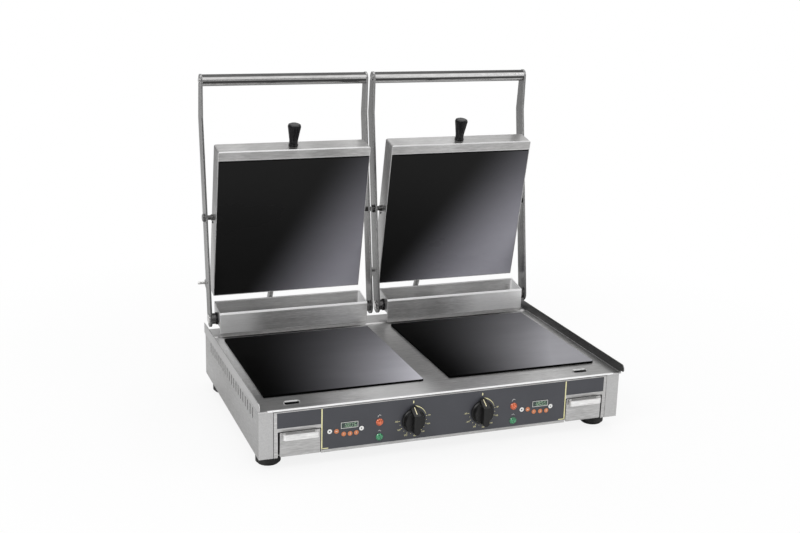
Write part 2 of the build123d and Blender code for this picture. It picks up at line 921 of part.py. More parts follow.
# A channel-shaped stand between the worktop's shelf and each housing.
with BuildPart() as housing_pedestals:
    stand_back = front + housing_back - pedestal_inset
    stand_front = stand_back - pedestal_depth
    stand_top = low + housing_floor
    for side, name in sides:
        half = housing_half - pedestal_short
        with BuildSketch(Plane.YZ.offset(side * lid_x - half)):
            with BuildLine():
                Polyline(
                    (stand_back, shelf_top),
                    (stand_back, stand_top),
                    (stand_front, stand_top),
                    (stand_front, stand_top - pedestal_sheet),
                    (stand_back - pedestal_sheet, stand_top - pedestal_sheet),
                    (stand_back - pedestal_sheet, shelf_top + pedestal_sheet),
                    (stand_front, shelf_top + pedestal_sheet),
                    (stand_front, shelf_top),
                    close=True,
                )
            make_face()
        extrude(amount=2 * half)
save(housing_pedestals, "housing_pedestals")

# Plastic bushes in the housing ends, bored for the axle.
with BuildPart() as hinge_bushes:
    for side, name in sides:
        for edge in (-1, 1):
            wall = side * lid_x + edge * housing_half
            flange = wall + edge * bush_flange_thick
            tail = wall - edge * (sheet + bush_inside)
            bore = axle_size / 2 + running
            with BuildSketch(Plane.XY.offset(hinge_z)):
                with BuildLine():
                    Polyline(
                        (flange, hinge_y + bore),
                        (flange, hinge_y + bush_flange / 2 - 1),
                        (flange - edge, hinge_y + bush_flange / 2),
                        (wall, hinge_y + bush_flange / 2),
                        (wall, hinge_y + bush_size / 2),
                        (tail, hinge_y + bush_size / 2),
                        (tail, hinge_y + bore),
                        close=True,
                    )
                make_face()
            revolve(axis=Axis((0, hinge_y, hinge_z), (1, 0, 0)))
save(hinge_bushes, "hinge_bushes")


def spring_point(side, turn):
    # A point on the coil's line, and its direction, after so many turns.
    angle = 2 * math.pi * turn
    centre = side * lid_x + spring_start
    spot = Vector(
        centre + spring_pitch * turn,
        hinge_y + spring_radius * math.cos(angle),
        hinge_z + spring_radius * math.sin(angle),
    )
    way = Vector(
        spring_pitch / (2 * math.pi),
        -spring_radius * math.sin(angle),
        spring_radius * math.cos(angle),
    ).normalized()
    return spot, way


# Torsion springs round the axles, each one unbroken wire with a straight tail
# that braces on the housing's floor.
with BuildPart() as torsion_springs:
    for side, name in sides:
        with BuildLine() as wire:
            for half in range(2 * spring_turns + 1):
                start, first_way = spring_point(side, half / 2)
                end, last_way = spring_point(side, half / 2 + 0.5)
                chord = end - start
                both = first_way + last_way
                spread = 2 * (1 - first_way.dot(last_way))
                along = chord.dot(both)
                reach = (math.sqrt(along**2 + spread * chord.dot(chord)) - along) / spread
                knee_1 = start + first_way * reach
                knee_2 = end - last_way * reach
                joint = (knee_1 + knee_2) / 2
                TangentArc(start, joint, tangent=first_way)
                TangentArc(joint, end, tangent=(knee_2 - knee_1).normalized())
            tail_length = axle_z - housing_floor - sheet - side_gap
            Line(end, end + last_way * tail_length)
        start, first_way = spring_point(side, 0)
        with BuildSketch(Plane(start, z_dir=first_way)):
            Circle(spring_wire / 2)
        sweep(path=wire.wires()[0])
print("spring gap between turns", round(spring_pitch - spring_wire, 3))
save(torsion_springs, "torsion_springs")


def axle(side):
    # A plain shaft with two stop collars and the collar that the spring sits against.
    middle = side * lid_x
    core = axle_size / 2
    rim = collar_size / 2
    stop = housing_half - sheet - bush_inside - side_gap
    face = spring_start - spring_wire / 2 - side_gap
    end = arm_inside + arm_thick
    with BuildPart() as shaft:
        with BuildSketch(Plane.XY.offset(hinge_z)):
            with BuildLine():
                Polyline(
                    (middle - end, hinge_y),
                    (middle - end, hinge_y + core),
                    (middle - stop, hinge_y + core),
                    (middle - stop, hinge_y + rim),
                    (middle - stop + collar_thick, hinge_y + rim),
                    (middle - stop + collar_thick, hinge_y + core),
                    (middle + face - anchor_thick, hinge_y + core),
                    (middle + face - anchor_thick, hinge_y + rim),
                    (middle + face, hinge_y + rim),
                    (middle + face, hinge_y + core),
                    (middle + stop - collar_thick, hinge_y + core),
                    (middle + stop - collar_thick, hinge_y + rim),
                    (middle + stop, hinge_y + rim),
                    (middle + stop, hinge_y + core),
                    (middle + end, hinge_y + core),
                    (middle + end, hinge_y),
                    close=True,
                )
            make_face()
        revolve(axis=Axis((0, hinge_y, hinge_z), (1, 0, 0)))
    return shaft


lean = math.radians(unit_tilt)
up = Vector(0, -math.sin(lean), math.cos(lean))
rearward = Vector(0, math.cos(lean), math.sin(lean))


def unit_plane(side, raise_by=0, behind=0, shift=0):
    # Plane on the front of the upper plate: X across, Y up along the plate.
    origin = Vector(side * lid_x + shift, front + unit_y, low + unit_z)
    origin = origin + up * raise_by + rearward * behind
    return Plane(origin, x_dir=(1, 0, 0), z_dir=-rearward)


def pivot_point():
    spot = Vector(0, front + unit_y, low + unit_z) + up * pivot_up + rearward * pivot_back
    return spot.Y, spot.Z


pivot_y, pivot_z = pivot_point()


def arm(side, edge):
    # Flat bar from the axle past a slight kink to the handle bar, with its hub sleeve.
    inner_face = side * lid_x + edge * arm_inside
    hub = (hinge_y, hinge_z)
    kink = (front + kink_y, low + kink_z)
    grip = (front + bar_y, low + bar_z)
    with BuildPart() as bar:
        with BuildSketch(Plane.YZ.offset(inner_face)):
            with BuildLine():
                Polyline(*tangent_outline(hub, hub_round, kink, kink_round), close=True)
            make_face()
            with BuildLine():
                Polyline(*tangent_outline(kink, kink_round, grip, bar_round), close=True)
            make_face()
            with Locations(hub):
                Circle(hub_round)
            with Locations(kink):
                Circle(kink_round)
            with Locations(grip):
                Circle(bar_round)
            if edge < 0:
                lug = (front + stop_y, low + stop_z)
                level = (hinge_y + (kink[0] - hinge_y) * (lug[1] - hinge_z) / (kink[1] - hinge_z), lug[1])
                with BuildLine():
                    Polyline(*tangent_outline(level, kink_round, lug, stop_lug / 2), close=True)
                make_face()
                with Locations(lug):
                    Circle(stop_lug / 2)
        extrude(amount=edge * arm_thick)
        sleeve_length = arm_inside - housing_half - bush_flange_thick - side_gap
        with BuildSketch(Plane.YZ.offset(inner_face)):
            with Locations(hub):
                Circle(sleeve_size / 2)
        extrude(amount=-edge * sleeve_length)
        with BuildSketch(Plane.YZ.offset(inner_face - edge * sleeve_length)):
            with Locations(hub):
                Circle(axle_size / 2 + snug)
        extrude(amount=edge * (sleeve_length + arm_thick), mode=Mode.SUBTRACT)
        with BuildSketch(Plane.YZ.offset(inner_face)):
            with Locations((pivot_y, pivot_z)):
                Circle(pin_size / 2 + pin_gap)
            with Locations(grip):
                Circle(screw_size / 2 + snug)
            if edge < 0:
                with Locations((front + stop_y, low + stop_z)):
                    Circle(stop_size / 4 + snug)
        extrude(amount=edge * arm_thick, mode=Mode.SUBTRACT)
    return bar


def handle_bar(side):
    # Round tube between the arms.
    with BuildPart() as tube:
        with BuildSketch(Plane.YZ.offset(side * lid_x - arm_inside)):
            with Locations((front + bar_y, low + bar_z)):
                Circle(bar_size / 2)
                Circle(bar_size / 2 - bar_wall, mode=Mode.SUBTRACT)
        extrude(amount=2 * arm_inside)
    return tube


def turned_along_x(pieces):
    # Turn outlines of places along X and radii, each about its own line along X.
    with BuildPart() as turned:
        for spot_y, spot_z, outline in pieces:
            with BuildSketch(Plane.XY.offset(spot_z)):
                with BuildLine():
                    Polyline(*[(place, spot_y + size) for place, size in outline], close=True)
                make_face()
            revolve(axis=Axis((0, spot_y, spot_z), (1, 0, 0)))
    return turned


def arm_fasteners(side):
    # Domed axle caps, plugs that screw the handle bar to the arms, and the stop pin.
    pieces = []
    for edge in (-1, 1):
        inner_face = side * lid_x + edge * arm_inside
        face = inner_face + edge * arm_thick
        cap = cap_size / 2
        axle_cap = (
            (face, 0),
            (face, cap),
            (face + edge * head_thick * 0.4, cap),
            (face + edge * head_thick, cap * 0.6),
            (face + edge * head_thick, 0),
        )
        bar_screw = (
            (inner_face - edge * bar_plug, 0),
            (inner_face - edge * bar_plug, bar_size / 2 - bar_wall - snug),
            (inner_face, bar_size / 2 - bar_wall - snug),
            (inner_face, screw_size / 2),
            (face, screw_size / 2),
            (face, head_size / 2),
            (face + edge * head_thick * 0.6, head_size / 2),
            (face + edge * head_thick, head_size / 4),
            (face + edge * head_thick, 0),
        )
        pieces.append((hinge_y, hinge_z, axle_cap))
        pieces.append((front + bar_y, low + bar_z, bar_screw))
    face = side * lid_x - arm_inside - arm_thick
    out = stop_out if side < 0 else stop_in
    stop_pin = (
        (face + arm_thick, 0),
        (face + arm_thick, stop_size / 4),
        (face, stop_size / 4),
        (face, stop_size / 2.4),
        (face - out * 0.7, stop_size / 2.4),
        (face - out * 0.7, stop_size / 2),
        (face - out, stop_size / 2.6),
        (face - out, 0),
    )
    pieces.append((front + stop_y, low + stop_z, stop_pin))
    return turned_along_x(pieces)


def cover(side):
    # Deep-drawn lid box with rounded back and top, open in front for the glass.
    place = conduit_left if side < 0 else conduit_right
    with BuildPart() as box:
        with BuildSketch(unit_plane(side, unit_height / 2)):
            Rectangle(2 * unit_half, unit_height)
        extrude(amount=-unit_depth)
        crown = box.edges().filter_by(Axis((0, 0, 0), rearward)).group_by(Axis.Z)[-1]
        fillet(crown, unit_round / 2)
        rear_face = box.faces().sort_by(Axis((0, 0, 0), rearward))[-1]
        fillet(rear_face.edges(), unit_round)
        front_face = box.faces().sort_by(Axis((0, 0, 0), rearward))[0]
        offset(amount=-unit_wall, openings=front_face)
        with BuildSketch(unit_plane(side, unit_height - unit_flange / 2 - unit_wall / 2)):
            Rectangle(2 * unit_half - unit_wall, unit_flange - unit_wall)
        extrude(amount=-unit_wall)
        with BuildSketch(Plane.YZ.offset(side * lid_x - unit_half)):
            with Locations((pivot_y, pivot_z)):
                Circle(pin_size / 2 + snug)
            with Locations((pivot_y - up.Y * screw_below, pivot_z - up.Z * screw_below)):
                Circle(small_screw / 4 + snug)
        extrude(amount=2 * unit_half, mode=Mode.SUBTRACT)
        with BuildSketch(unit_plane(side, gland_up, unit_depth, place - side * lid_x)):
            Circle(gland_size / 2 - 1 + snug)
        extrude(amount=2 * unit_wall, mode=Mode.SUBTRACT)
        top_spot = unit_plane(side, unit_height, grip_place).origin
        with BuildSketch(Plane(top_spot, x_dir=(1, 0, 0), z_dir=up)):
            Circle(screw_size / 2 + snug)
        extrude(amount=-2 * unit_wall, mode=Mode.SUBTRACT)
    return box


def upper_glass(side):
    wide = 2 * (unit_half - unit_wall - upper_gap)
    tall = unit_height - unit_flange - unit_wall - 2 * upper_gap
    with BuildPart() as plate:
        with BuildSketch(unit_plane(side, unit_wall + upper_gap + tall / 2)):
            Rectangle(wide, tall)
        extrude(amount=-glass_thick)
    return plate


def upper_heater(side):
    # Insulating pan behind the upper glass with its folded ribbon in the recess.
    wide = 2 * unit_half - 3 * recess_wall
    tall = unit_height - unit_flange - 3 * recess_wall
    centre = (unit_height - unit_flange) / 2
    with BuildPart() as pan:
        with BuildSketch(unit_plane(side, centre, glass_thick)):
            Rectangle(wide, tall)
        extrude(amount=-upper_pan_depth)
        with BuildSketch(unit_plane(side, centre, glass_thick)):
            Rectangle(wide - 2 * recess_wall, tall - 2 * recess_wall)
        extrude(amount=-recess_depth, mode=Mode.SUBTRACT)
        with BuildSketch(unit_plane(side, centre, glass_thick + recess_depth)):
            ribbon_outline(wide - 3 * recess_wall, tall - 3 * recess_wall)
        extrude(amount=ribbon_tall)
    return pan


def pivot_pins(side):
    # Shouldered pins through the arms into the cover, nutted inside, and the small
    # screw under each of them.
    pieces = []
    for edge in (-1, 1):
        arm_face = side * lid_x + edge * (arm_inside + arm_thick + side_gap)
        wall = side * lid_x + edge * unit_half
        inner = wall - edge * unit_wall
        pin = (
            (arm_face + edge * pin_head_thick, 0),
            (arm_face + edge * pin_head_thick, pin_head / 2 - 1.5),
            (arm_face + edge * pin_head_thick / 2, pin_head / 2),
            (arm_face, pin_head / 2),
            (arm_face, pin_size / 2),
            (wall + edge * pin_nut_thick, pin_size / 2),
            (wall + edge * pin_nut_thick, pin_nut / 2),
            (wall, pin_nut / 2),
            (wall, pin_size / 2),
            (inner, pin_size / 2),
            (inner, pin_nut / 2),
            (inner - edge * pin_nut_thick, pin_nut / 2),
            (inner - edge * pin_nut_thick, 0),
        )
        screw = (
            (wall + edge * small_screw / 3, 0),
            (wall + edge * small_screw / 3, small_screw / 3),
            (wall, small_screw / 2),
            (wall, small_screw / 4),
            (inner - edge * pin_nut_thick, small_screw / 4),
            (inner - edge * pin_nut_thick, 0),
        )
        pieces.append((pivot_y, pivot_z, pin))
        below = (pivot_y - up.Y * screw_below, pivot_z - up.Z * screw_below)
        pieces.append((below[0], below[1], screw))
    return turned_along_x(pieces)


def grip(side):
    # Fluted cone that flares towards its top, on a foot ring and a stud.
    root = unit_plane(side, unit_height, grip_place)
    full = grip_foot_thick + grip_tall
    with BuildPart() as cone:
        with BuildSketch(root):
            with BuildLine():
                Polyline(
                    (0, -unit_wall * 4),
                    (screw_size / 2, -unit_wall * 4),
                    (screw_size / 2, 0),
                    (grip_foot / 2, 0),
                    (grip_foot / 2, grip_foot_thick),
                    (grip_low / 2, grip_foot_thick + 1),
                    (grip_low / 2 + 0.4, grip_tall * 0.3),
                    (grip_high / 2, full - 5),
                    (grip_high / 2 - 1, full - 1.5),
                    (grip_high / 2 - 4, full),
                    (0, full),
                    close=True,
                )
            make_face()
        revolve(axis=Axis(root.origin, up))
        flare = (grip_high - grip_low - 0.8) / 2 / (full - 5 - grip_tall * 0.3)
        place = grip_high / 2 + 5 * flare + flute_size / 2 - flute_sink
        with Locations(Plane(root.origin + up * full, x_dir=(1, 0, 0), z_dir=up)):
            with PolarLocations(place, flute_count):
                Cylinder(
                    flute_size / 2,
                    2 * grip_tall * 0.8,
                    rotation=(0, math.degrees(math.atan(flare)), 0),
                    mode=Mode.SUBTRACT,
                )
    return cone


def cover_gland(side):
    # Elbow fitting on the cover's back that turns the conduit downwards.
    place = conduit_left if side < 0 else conduit_right
    shift = place - side * lid_x
    with BuildPart() as elbow:
        with BuildSketch(unit_plane(side, gland_up, unit_depth, shift)):
            RegularPolygon(gland_nut / 2, 6)
        extrude(amount=-gland_nut_thick)
        with BuildSketch(unit_plane(side, gland_up, unit_depth, shift)):
            Circle(gland_size / 2 - 1)
        extrude(amount=gland_nut_thick)
        with BuildSketch(unit_plane(side, gland_up, unit_depth, shift)):
            Circle(gland_size / 2)
        extrude(amount=-gland_out)
        heart = unit_plane(side, gland_up, unit_depth + gland_out, shift).origin
        with Locations(heart):
            Sphere(gland_size / 2 + gland_bulge)
        with BuildSketch(Plane(heart, x_dir=(1, 0, 0), z_dir=-up)):
            Circle(gland_size / 2)
        extrude(amount=gland_drop)
    return elbow


def turned_heading(heading, by):
    angle = math.radians(heading + by)
    return Vector(0, math.cos(angle), math.sin(angle))


def conduit(side):
    # Armoured tube: down from the elbow, out in a loop and forward into the back gland.
    place = conduit_left if side < 0 else conduit_right
    shift = place - side * lid_x
    start = unit_plane(side, gland_up - gland_drop, unit_depth + gland_out, shift).origin
    heading = unit_tilt - 90
    out = heading + first_turn
    square = 90
    with BuildPart() as tube:
        with BuildLine() as path:
            run_1 = Line(start, start + turned_heading(heading, 0) * first_run)
            hub_1 = run_1 @ 1 + turned_heading(heading, square) * first_bend
            mid_1 = hub_1 - turned_heading(heading, square + first_turn / 2) * first_bend
            end_1 = hub_1 - turned_heading(heading, square + first_turn) * first_bend
            ThreePointArc(run_1 @ 1, mid_1, end_1)
            sink = second_bend * (1 + math.cos(math.radians(out)))
            fall = end_1.Z - (low + rear_gland_z) - sink
            run_2 = Line(end_1, end_1 + turned_heading(out, 0) * (fall / -math.sin(math.radians(out))))
            hub_2 = run_2 @ 1 + turned_heading(out, -square) * second_bend
            whole = out + 180
            mid_2 = hub_2 - turned_heading(out, -square - whole / 2) * second_bend
            end_2 = hub_2 - turned_heading(out, -square - whole) * second_bend
            ThreePointArc(run_2 @ 1, mid_2, end_2)
            Line(end_2, (place, back + rear_gland_out, low + rear_gland_z))
        with BuildSketch(Plane(start, z_dir=turned_heading(heading, 0))):
            Circle(conduit_size / 2)
        sweep(path=path.wires()[0])
    length = path.wires()[0].length
    print("conduit length", round(length, 2), "bends", first_bend, second_bend)
    print("volume", round(tube.part.volume, 1), "section times length",
          round(length * math.pi * conduit_size**2 / 4, 1))
    return tube


for side, name in sides:
    for edge in (-1, 1):
        where = "outer" if edge == side else "inner"
        save(arm(side, edge), "arm_" + where + "_" + name)
    save(handle_bar(side), "handle_bar_" + name)
    save(axle(side), "axle_" + name)
    save(arm_fasteners(side), "arm_fasteners_" + name)
    save(cover(side), "cover_" + name)
    save(upper_glass(side), "upper_glass_" + name)
    save(upper_heater(side), "upper_heater_" + name)
    save(pivot_pins(side), "pivot_pins_" + name)
    save(grip(side), "grip_" + name)
    save(cover_gland(side), "cover_gland_" + name)
    save(conduit(side), "conduit_" + name)
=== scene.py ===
import bpy
import bmesh
import math
from mathutils import Matrix, Vector


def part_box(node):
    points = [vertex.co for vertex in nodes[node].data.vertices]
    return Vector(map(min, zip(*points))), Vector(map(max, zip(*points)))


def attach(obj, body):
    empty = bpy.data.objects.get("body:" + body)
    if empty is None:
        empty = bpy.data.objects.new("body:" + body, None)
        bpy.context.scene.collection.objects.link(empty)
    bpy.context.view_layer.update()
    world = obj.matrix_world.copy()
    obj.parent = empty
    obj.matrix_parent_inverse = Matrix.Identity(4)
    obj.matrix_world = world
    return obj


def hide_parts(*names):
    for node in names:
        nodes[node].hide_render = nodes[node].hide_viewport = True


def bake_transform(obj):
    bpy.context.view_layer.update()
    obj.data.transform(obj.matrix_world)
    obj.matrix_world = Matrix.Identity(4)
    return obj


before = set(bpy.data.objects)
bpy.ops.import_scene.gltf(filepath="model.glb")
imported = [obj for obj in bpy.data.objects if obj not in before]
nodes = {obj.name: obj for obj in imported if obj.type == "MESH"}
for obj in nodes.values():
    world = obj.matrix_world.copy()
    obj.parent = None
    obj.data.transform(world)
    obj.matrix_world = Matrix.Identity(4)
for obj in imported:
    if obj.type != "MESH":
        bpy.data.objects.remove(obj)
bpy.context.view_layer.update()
bpy.context.scene.view_settings.view_transform = "Standard"

# Places in metres, the same as in the part

front = -0.281  # the body's front face
low = 0.026  # the body's lower edge
deck = low + 0.0930  # the worktop's upper side
film = front - 0.0004  # the printed film's face
key_top = film - 0.0005  # the raised touch keys' face
knob_x = 0.070
knob_z = low + 0.043
bar_z = low + 0.620  # the middle of the handle bars
plate_lean = math.radians(12)  # the upper plates lean forward by this much
plate_fold = (0.12482, 0.51328)  # y and z of the fold over the upper glass
lower_glass_top = low + 0.0974
lower_glass_y = -0.2197
upper_glass_low = low + 0.1697
drains = (-0.297, 0.290)
conduits = ((-0.200, "left"), (0.1485, "right"))
conduit_route = (
    (0.2558, 0.2242),
    (0.2600, 0.2050),
    (0.3070, 0.1140),
    (0.2790, 0.0700),
    (0.2050, 0.0710),
)


# Camera at the photograph's angle


def aim_camera():
    place = (-0.8391994, -2.2394957, 0.9440459)
    yaw, pitch, roll = 0.35898480, 0.26848167, 0.02664857
    ahead = Vector(
        (math.sin(yaw) * math.cos(pitch), math.cos(yaw) * math.cos(pitch), -math.sin(pitch))
    )
    right = Vector((math.cos(yaw), -math.sin(yaw), 0))
    up = right.cross(ahead)
    across = math.cos(roll) * right + math.sin(roll) * up
    over = -math.sin(roll) * right + math.cos(roll) * up
    data = bpy.data.cameras.new("view")
    data.lens = 54.50
    data.sensor_fit = "HORIZONTAL"
    data.sensor_width = 36
    camera = bpy.data.objects.new("view", data)
    turn = Matrix((across, over, -ahead)).transposed().to_4x4()
    camera.matrix_world = Matrix.Translation(place) @ turn
    bpy.context.collection.objects.link(camera)
    bpy.context.scene.camera = camera


aim_camera()


# Small tools for materials: each Paint holds one node material


class Paint:
    def __init__(self, name):
        self.material = bpy.data.materials.new(name)
        self.material.use_nodes = True
        self.tree = self.material.node_tree
        self.tree.nodes.clear()
        self.end = self.tree.nodes.new("ShaderNodeOutputMaterial")
        self.shader = self.tree.nodes.new("ShaderNodeBsdfPrincipled")
        self.tree.links.new(self.shader.outputs[0], self.end.inputs["Surface"])
        self.spot = self.tree.nodes.new("ShaderNodeTexCoord").outputs["Object"]

    def set(self, **values):
        for name, value in values.items():
            self.feed(self.shader.inputs[name.replace("_", " ")], value)

    def feed(self, socket, value):
        if isinstance(value, bpy.types.NodeSocket):
            self.tree.links.new(value, socket)
        else:
            socket.default_value = value

    def fed(self, name):
        # What the shader's socket of that name is linked to.
        return self.shader.inputs[name].links[0].from_socket

    def math(self, kind, first, second=0.0):
        step = self.tree.nodes.new("ShaderNodeMath")
        step.operation = kind
        self.feed(step.inputs[0], first)
        self.feed(step.inputs[1], second)
        return step.outputs[0]

    def times(self, first, *others):
        for other in others:
            first = self.math("MULTIPLY", first, other)
        return first

    def most(self, first, *others):
        for other in others:
            first = self.math("MAXIMUM", first, other)
        return first

    def add(self, first, second):
        return self.math("ADD", first, second)

    def less(self, first, second):
        return self.math("SUBTRACT", first, second)

    def above(self, value, limit):
        return self.math("GREATER_THAN", value, limit)

    def below(self, value, limit):
        return self.math("LESS_THAN", value, limit)

    def within(self, value, start, end):
        return self.times(self.above(value, start), self.below(value, end))

    def stretched(self, scale, turn=(0, 0, 0)):
        step = self.tree.nodes.new("ShaderNodeMapping")
        step.inputs["Scale"].default_value = scale
        step.inputs["Rotation"].default_value = turn
        self.tree.links.new(self.spot, step.inputs["Vector"])
        return step.outputs[0]

    def noise(self, place, scale=1.0, detail=2.0, rough=0.5):
        step = self.tree.nodes.new("ShaderNodeTexNoise")
        self.feed(step.inputs["Vector"], place)
        step.inputs["Scale"].default_value = scale
        step.inputs["Detail"].default_value = detail
        step.inputs["Roughness"].default_value = rough
        return step.outputs[0]

    def span(self, value, low_in, high_in, low_out, high_out):
        # The value's range from low_in to high_in becomes low_out to high_out.
        step = self.tree.nodes.new("ShaderNodeMapRange")
        self.feed(step.inputs["Value"], value)
        ends = (low_in, high_in, low_out, high_out)
        for name, end in zip(("From Min", "From Max", "To Min", "To Max"), ends):
            step.inputs[name].default_value = end
        return step.outputs[0]

    def smooth(self, value, start, end):
        # Rises softly from nought at start to one at end.
        step = self.tree.nodes.new("ShaderNodeMapRange")
        step.interpolation_type = "SMOOTHSTEP"
        self.feed(step.inputs["Value"], value)
        step.inputs["From Min"].default_value = start
        step.inputs["From Max"].default_value = end
        return step.outputs[0]

    def fall(self, value, start, end):
        return self.less(1.0, self.smooth(value, start, end))

    def hump(self, value, start, top, past, end):
        # Rises softly from start to top and falls again from past to end.
        return self.less(self.smooth(value, start, top), self.smooth(value, past, end))

    def mix(self, share, first, second, kind="MIX"):
        step = self.tree.nodes.new("ShaderNodeMix")
        step.data_type = "RGBA"
        step.blend_type = kind
        self.feed(step.inputs["Factor"], share)
        self.feed(step.inputs[6], first)
        self.feed(step.inputs[7], second)
        return step.outputs[2]

    def tint(self, share, level, metal=1.0):
        # Pull the colour towards a grey, and with it the metal towards the given part.
        self.set(Base_Color=self.mix(share, self.fed("Base Color"), grey(level)))
        if metal != 1.0:
            part = self.span(share, 0.0, 1.0, 1.0, metal)
            self.set(Metallic=self.times(self.fed("Metallic"), part))

    def axes(self):
        step = self.tree.nodes.new("ShaderNodeSeparateXYZ")
        self.tree.links.new(self.spot, step.inputs[0])
        return step.outputs[0], step.outputs[1], step.outputs[2]

    def bump(self, height, strength, depth, normal):
        step = self.tree.nodes.new("ShaderNodeBump")
        step.inputs["Strength"].default_value = strength
        step.inputs["Distance"].default_value = depth
        self.feed(step.inputs["Height"], height)
        self.tree.links.new(normal, step.inputs["Normal"])
        return step.outputs[0]

    def soft_edge(self, radius):
        step = self.tree.nodes.new("ShaderNodeBevel")
        step.samples = 4
        step.inputs["Radius"].default_value = radius
        return step.outputs[0]

    def edge_share(self, rounded):
        # How much the rounded normal leaves the flat one, which is nought off the edges.
        plain = self.tree.nodes.new("ShaderNodeNewGeometry").outputs["Normal"]
        step = self.tree.nodes.new("ShaderNodeVectorMath")
        step.operation = "DOT_PRODUCT"
        self.tree.links.new(rounded, step.inputs[0])
        self.tree.links.new(plain, step.inputs[1])
        return self.span(step.outputs["Value"], 0.98, 0.75, 0.0, 1.0)


def grey(level, warm=0.0):
    return (level * (1 + warm), level, level * (1 - warm), 1)


def solid(colour):
    return tuple(colour) + (1,)


# Steel


def brushed(name, tone, grain, rough=0.30, axis="X", turn=0.0, edge=0.0007, sway=0.12, metal=0.9):
    # Stainless steel: fine long scratches, wider streaks, slow bands, faint stains, short
    # flecks, and edges painted pale, partly as wear and partly as painted highlights. The grain
    # names the axes that it runs along, and turn leans it about X. The sway says how deep the
    # slow bands are.
    paint = Paint(name)
    warm = 0.004
    turn = (turn, 0, 0)

    def scale(long, cross):
        return [long if letter in grain else cross for letter in "XYZ"]

    fine = paint.noise(paint.stretched(scale(9, 1100), turn), 1.0, 3.0, 0.6)
    wide = paint.noise(paint.stretched(scale(9 * 0.22, 1100 * 0.22), turn), 1.0, 2.0)
    slow = paint.noise(paint.stretched((9, 3, 2.5), (0.2, 0.1, 0.3)), 1.0, 1.0)
    stain = paint.noise(paint.spot, 7.0, 3.0, 0.55)
    streak = paint.add(paint.times(fine, 0.6), paint.times(wide, 0.4))
    share = paint.span(streak, 0.3, 0.7, 0.0, 1.0)
    colour = paint.mix(share, grey(tone * 0.80, warm), grey(tone * 1.14, warm))
    bands = paint.span(slow, 0.34, 0.66, 0.0, 1.0)
    colour = paint.mix(bands, colour, grey(1 - sway * 2, warm), "MULTIPLY")
    stained = paint.span(stain, 0.35, 0.7, 0.0, 0.35)
    colour = paint.mix(stained, colour, grey(tone * 0.86, 0.02))
    fleck = paint.noise(paint.stretched(scale(60, 460), turn), 1.0, 2.0, 0.6)
    fleck = paint.mix(paint.span(fleck, 0.3, 0.7, 0.0, 1.0), grey(0.85), grey(1.15))
    colour = paint.mix(1.0, colour, fleck, "MULTIPLY")
    rounded = paint.soft_edge(edge)
    # Edges painted pale and less metallic, as wear and as painted highlights.
    worn_and_highlit = paint.edge_share(rounded)
    colour = paint.mix(paint.times(worn_and_highlit, 0.9), colour, grey(0.95))
    uneven = paint.add(paint.times(streak, 0.7), paint.times(stain, 0.3))
    roughness = paint.span(uneven, 0.3, 0.7, rough * 0.85, rough * 1.2)
    paint.set(Base_Color=colour, Metallic=paint.span(worn_and_highlit, 0.0, 1.0, metal, metal * 0.45))
    paint.set(Roughness=roughness, Anisotropic=0.45)
    tangent = paint.tree.nodes.new("ShaderNodeTangent")
    tangent.direction_type = "RADIAL"
    tangent.axis = axis
    paint.tree.links.new(tangent.outputs[0], paint.shader.inputs["Tangent"])
    paint.set(Normal=paint.bump(streak, 0.25, 0.00004, rounded))
    return paint


def tray_sheet(name, tone):
    # The worktop's painted reflections and shade: painted dark on the right rim's inner face and
    # in the front corners, painted dark along the left rim's outer face, painted pale along the
    # left strip and in front of the left glass, painted highlights on the hem and the drain lips,
    # and painted black shade in the drain slots.
    paint = brushed(name, tone, "X", 0.34, edge=0.0014, sway=0.16)
    x, y, z = paint.axes()
    rim_inside, rim_outside = 0.3600, 0.3664
    rim_foot, rim_top, seam_top = low + 0.0925, low + 0.1098, low + 0.0868

    # Painted dark reflection on the right rim's inner face and along its top.
    rim = paint.times(
        paint.within(x, rim_inside, rim_outside), paint.smooth(z, rim_foot, rim_foot + 0.0025)
    )
    ridge = paint.times(paint.above(x, rim_inside), paint.above(z, rim_top))
    paint.tint(paint.times(paint.most(rim, ridge), 0.80), 0.03)

    # Painted dark reflection along the left rim's outer face, darkest at its seam.
    outer = paint.below(x, -rim_outside)
    seam = paint.times(outer, paint.below(z, seam_top))
    paint.tint(paint.times(outer, 0.5), 0.25)
    paint.tint(paint.times(seam, 0.8), 0.02)

    # Painted dark reflection in the front corners of the deck.
    level = paint.within(z, deck - 0.0006, deck + 0.0006)
    ahead = paint.fall(y, -0.225, -0.150)
    left = paint.fall(x, -0.285, -0.180)
    right = paint.times(paint.smooth(x, 0.180, 0.330), 0.6)
    paint.tint(paint.times(paint.most(left, right), ahead, level, 0.55), 0.08)
    # Painted pale reflection in front of the left glass and along the left strip.
    middle = paint.hump(x, -0.200, -0.110, -0.060, 0.010)
    paint.tint(paint.times(middle, ahead, level, 0.6), 0.95, 0.5)
    strip = paint.times(paint.within(x, -0.3660, -0.3395), paint.smooth(y, -0.200, 0.020))
    paint.tint(paint.times(strip, level, 0.6), 0.85, 0.35)

    # Painted highlight on the front hem.
    hem = paint.times(paint.below(y, front + 0.0008), paint.within(x, -0.349, 0.349))
    lit = paint.times(hem, paint.above(z, deck - 0.0036))
    paint.tint(paint.times(lit, 0.9), 0.98, 0.3)

    drain_half = 0.0160
    for drain in drains:
        near = paint.within(x, drain - drain_half, drain + drain_half)
        # Painted highlight on the drain's lip.
        lip = paint.times(near, paint.within(y, front + 0.0292, front + 0.0360))
        paint.tint(paint.times(lip, paint.above(z, deck + 0.0004)), 0.98, 0.15)
        # Painted black shade inside the drain's slot.
        slot = paint.times(near, paint.within(y, front + 0.0195, front + 0.0305))
        paint.tint(paint.times(slot, paint.below(z, deck - 0.0001)), 0.005, 0.3)
    return paint


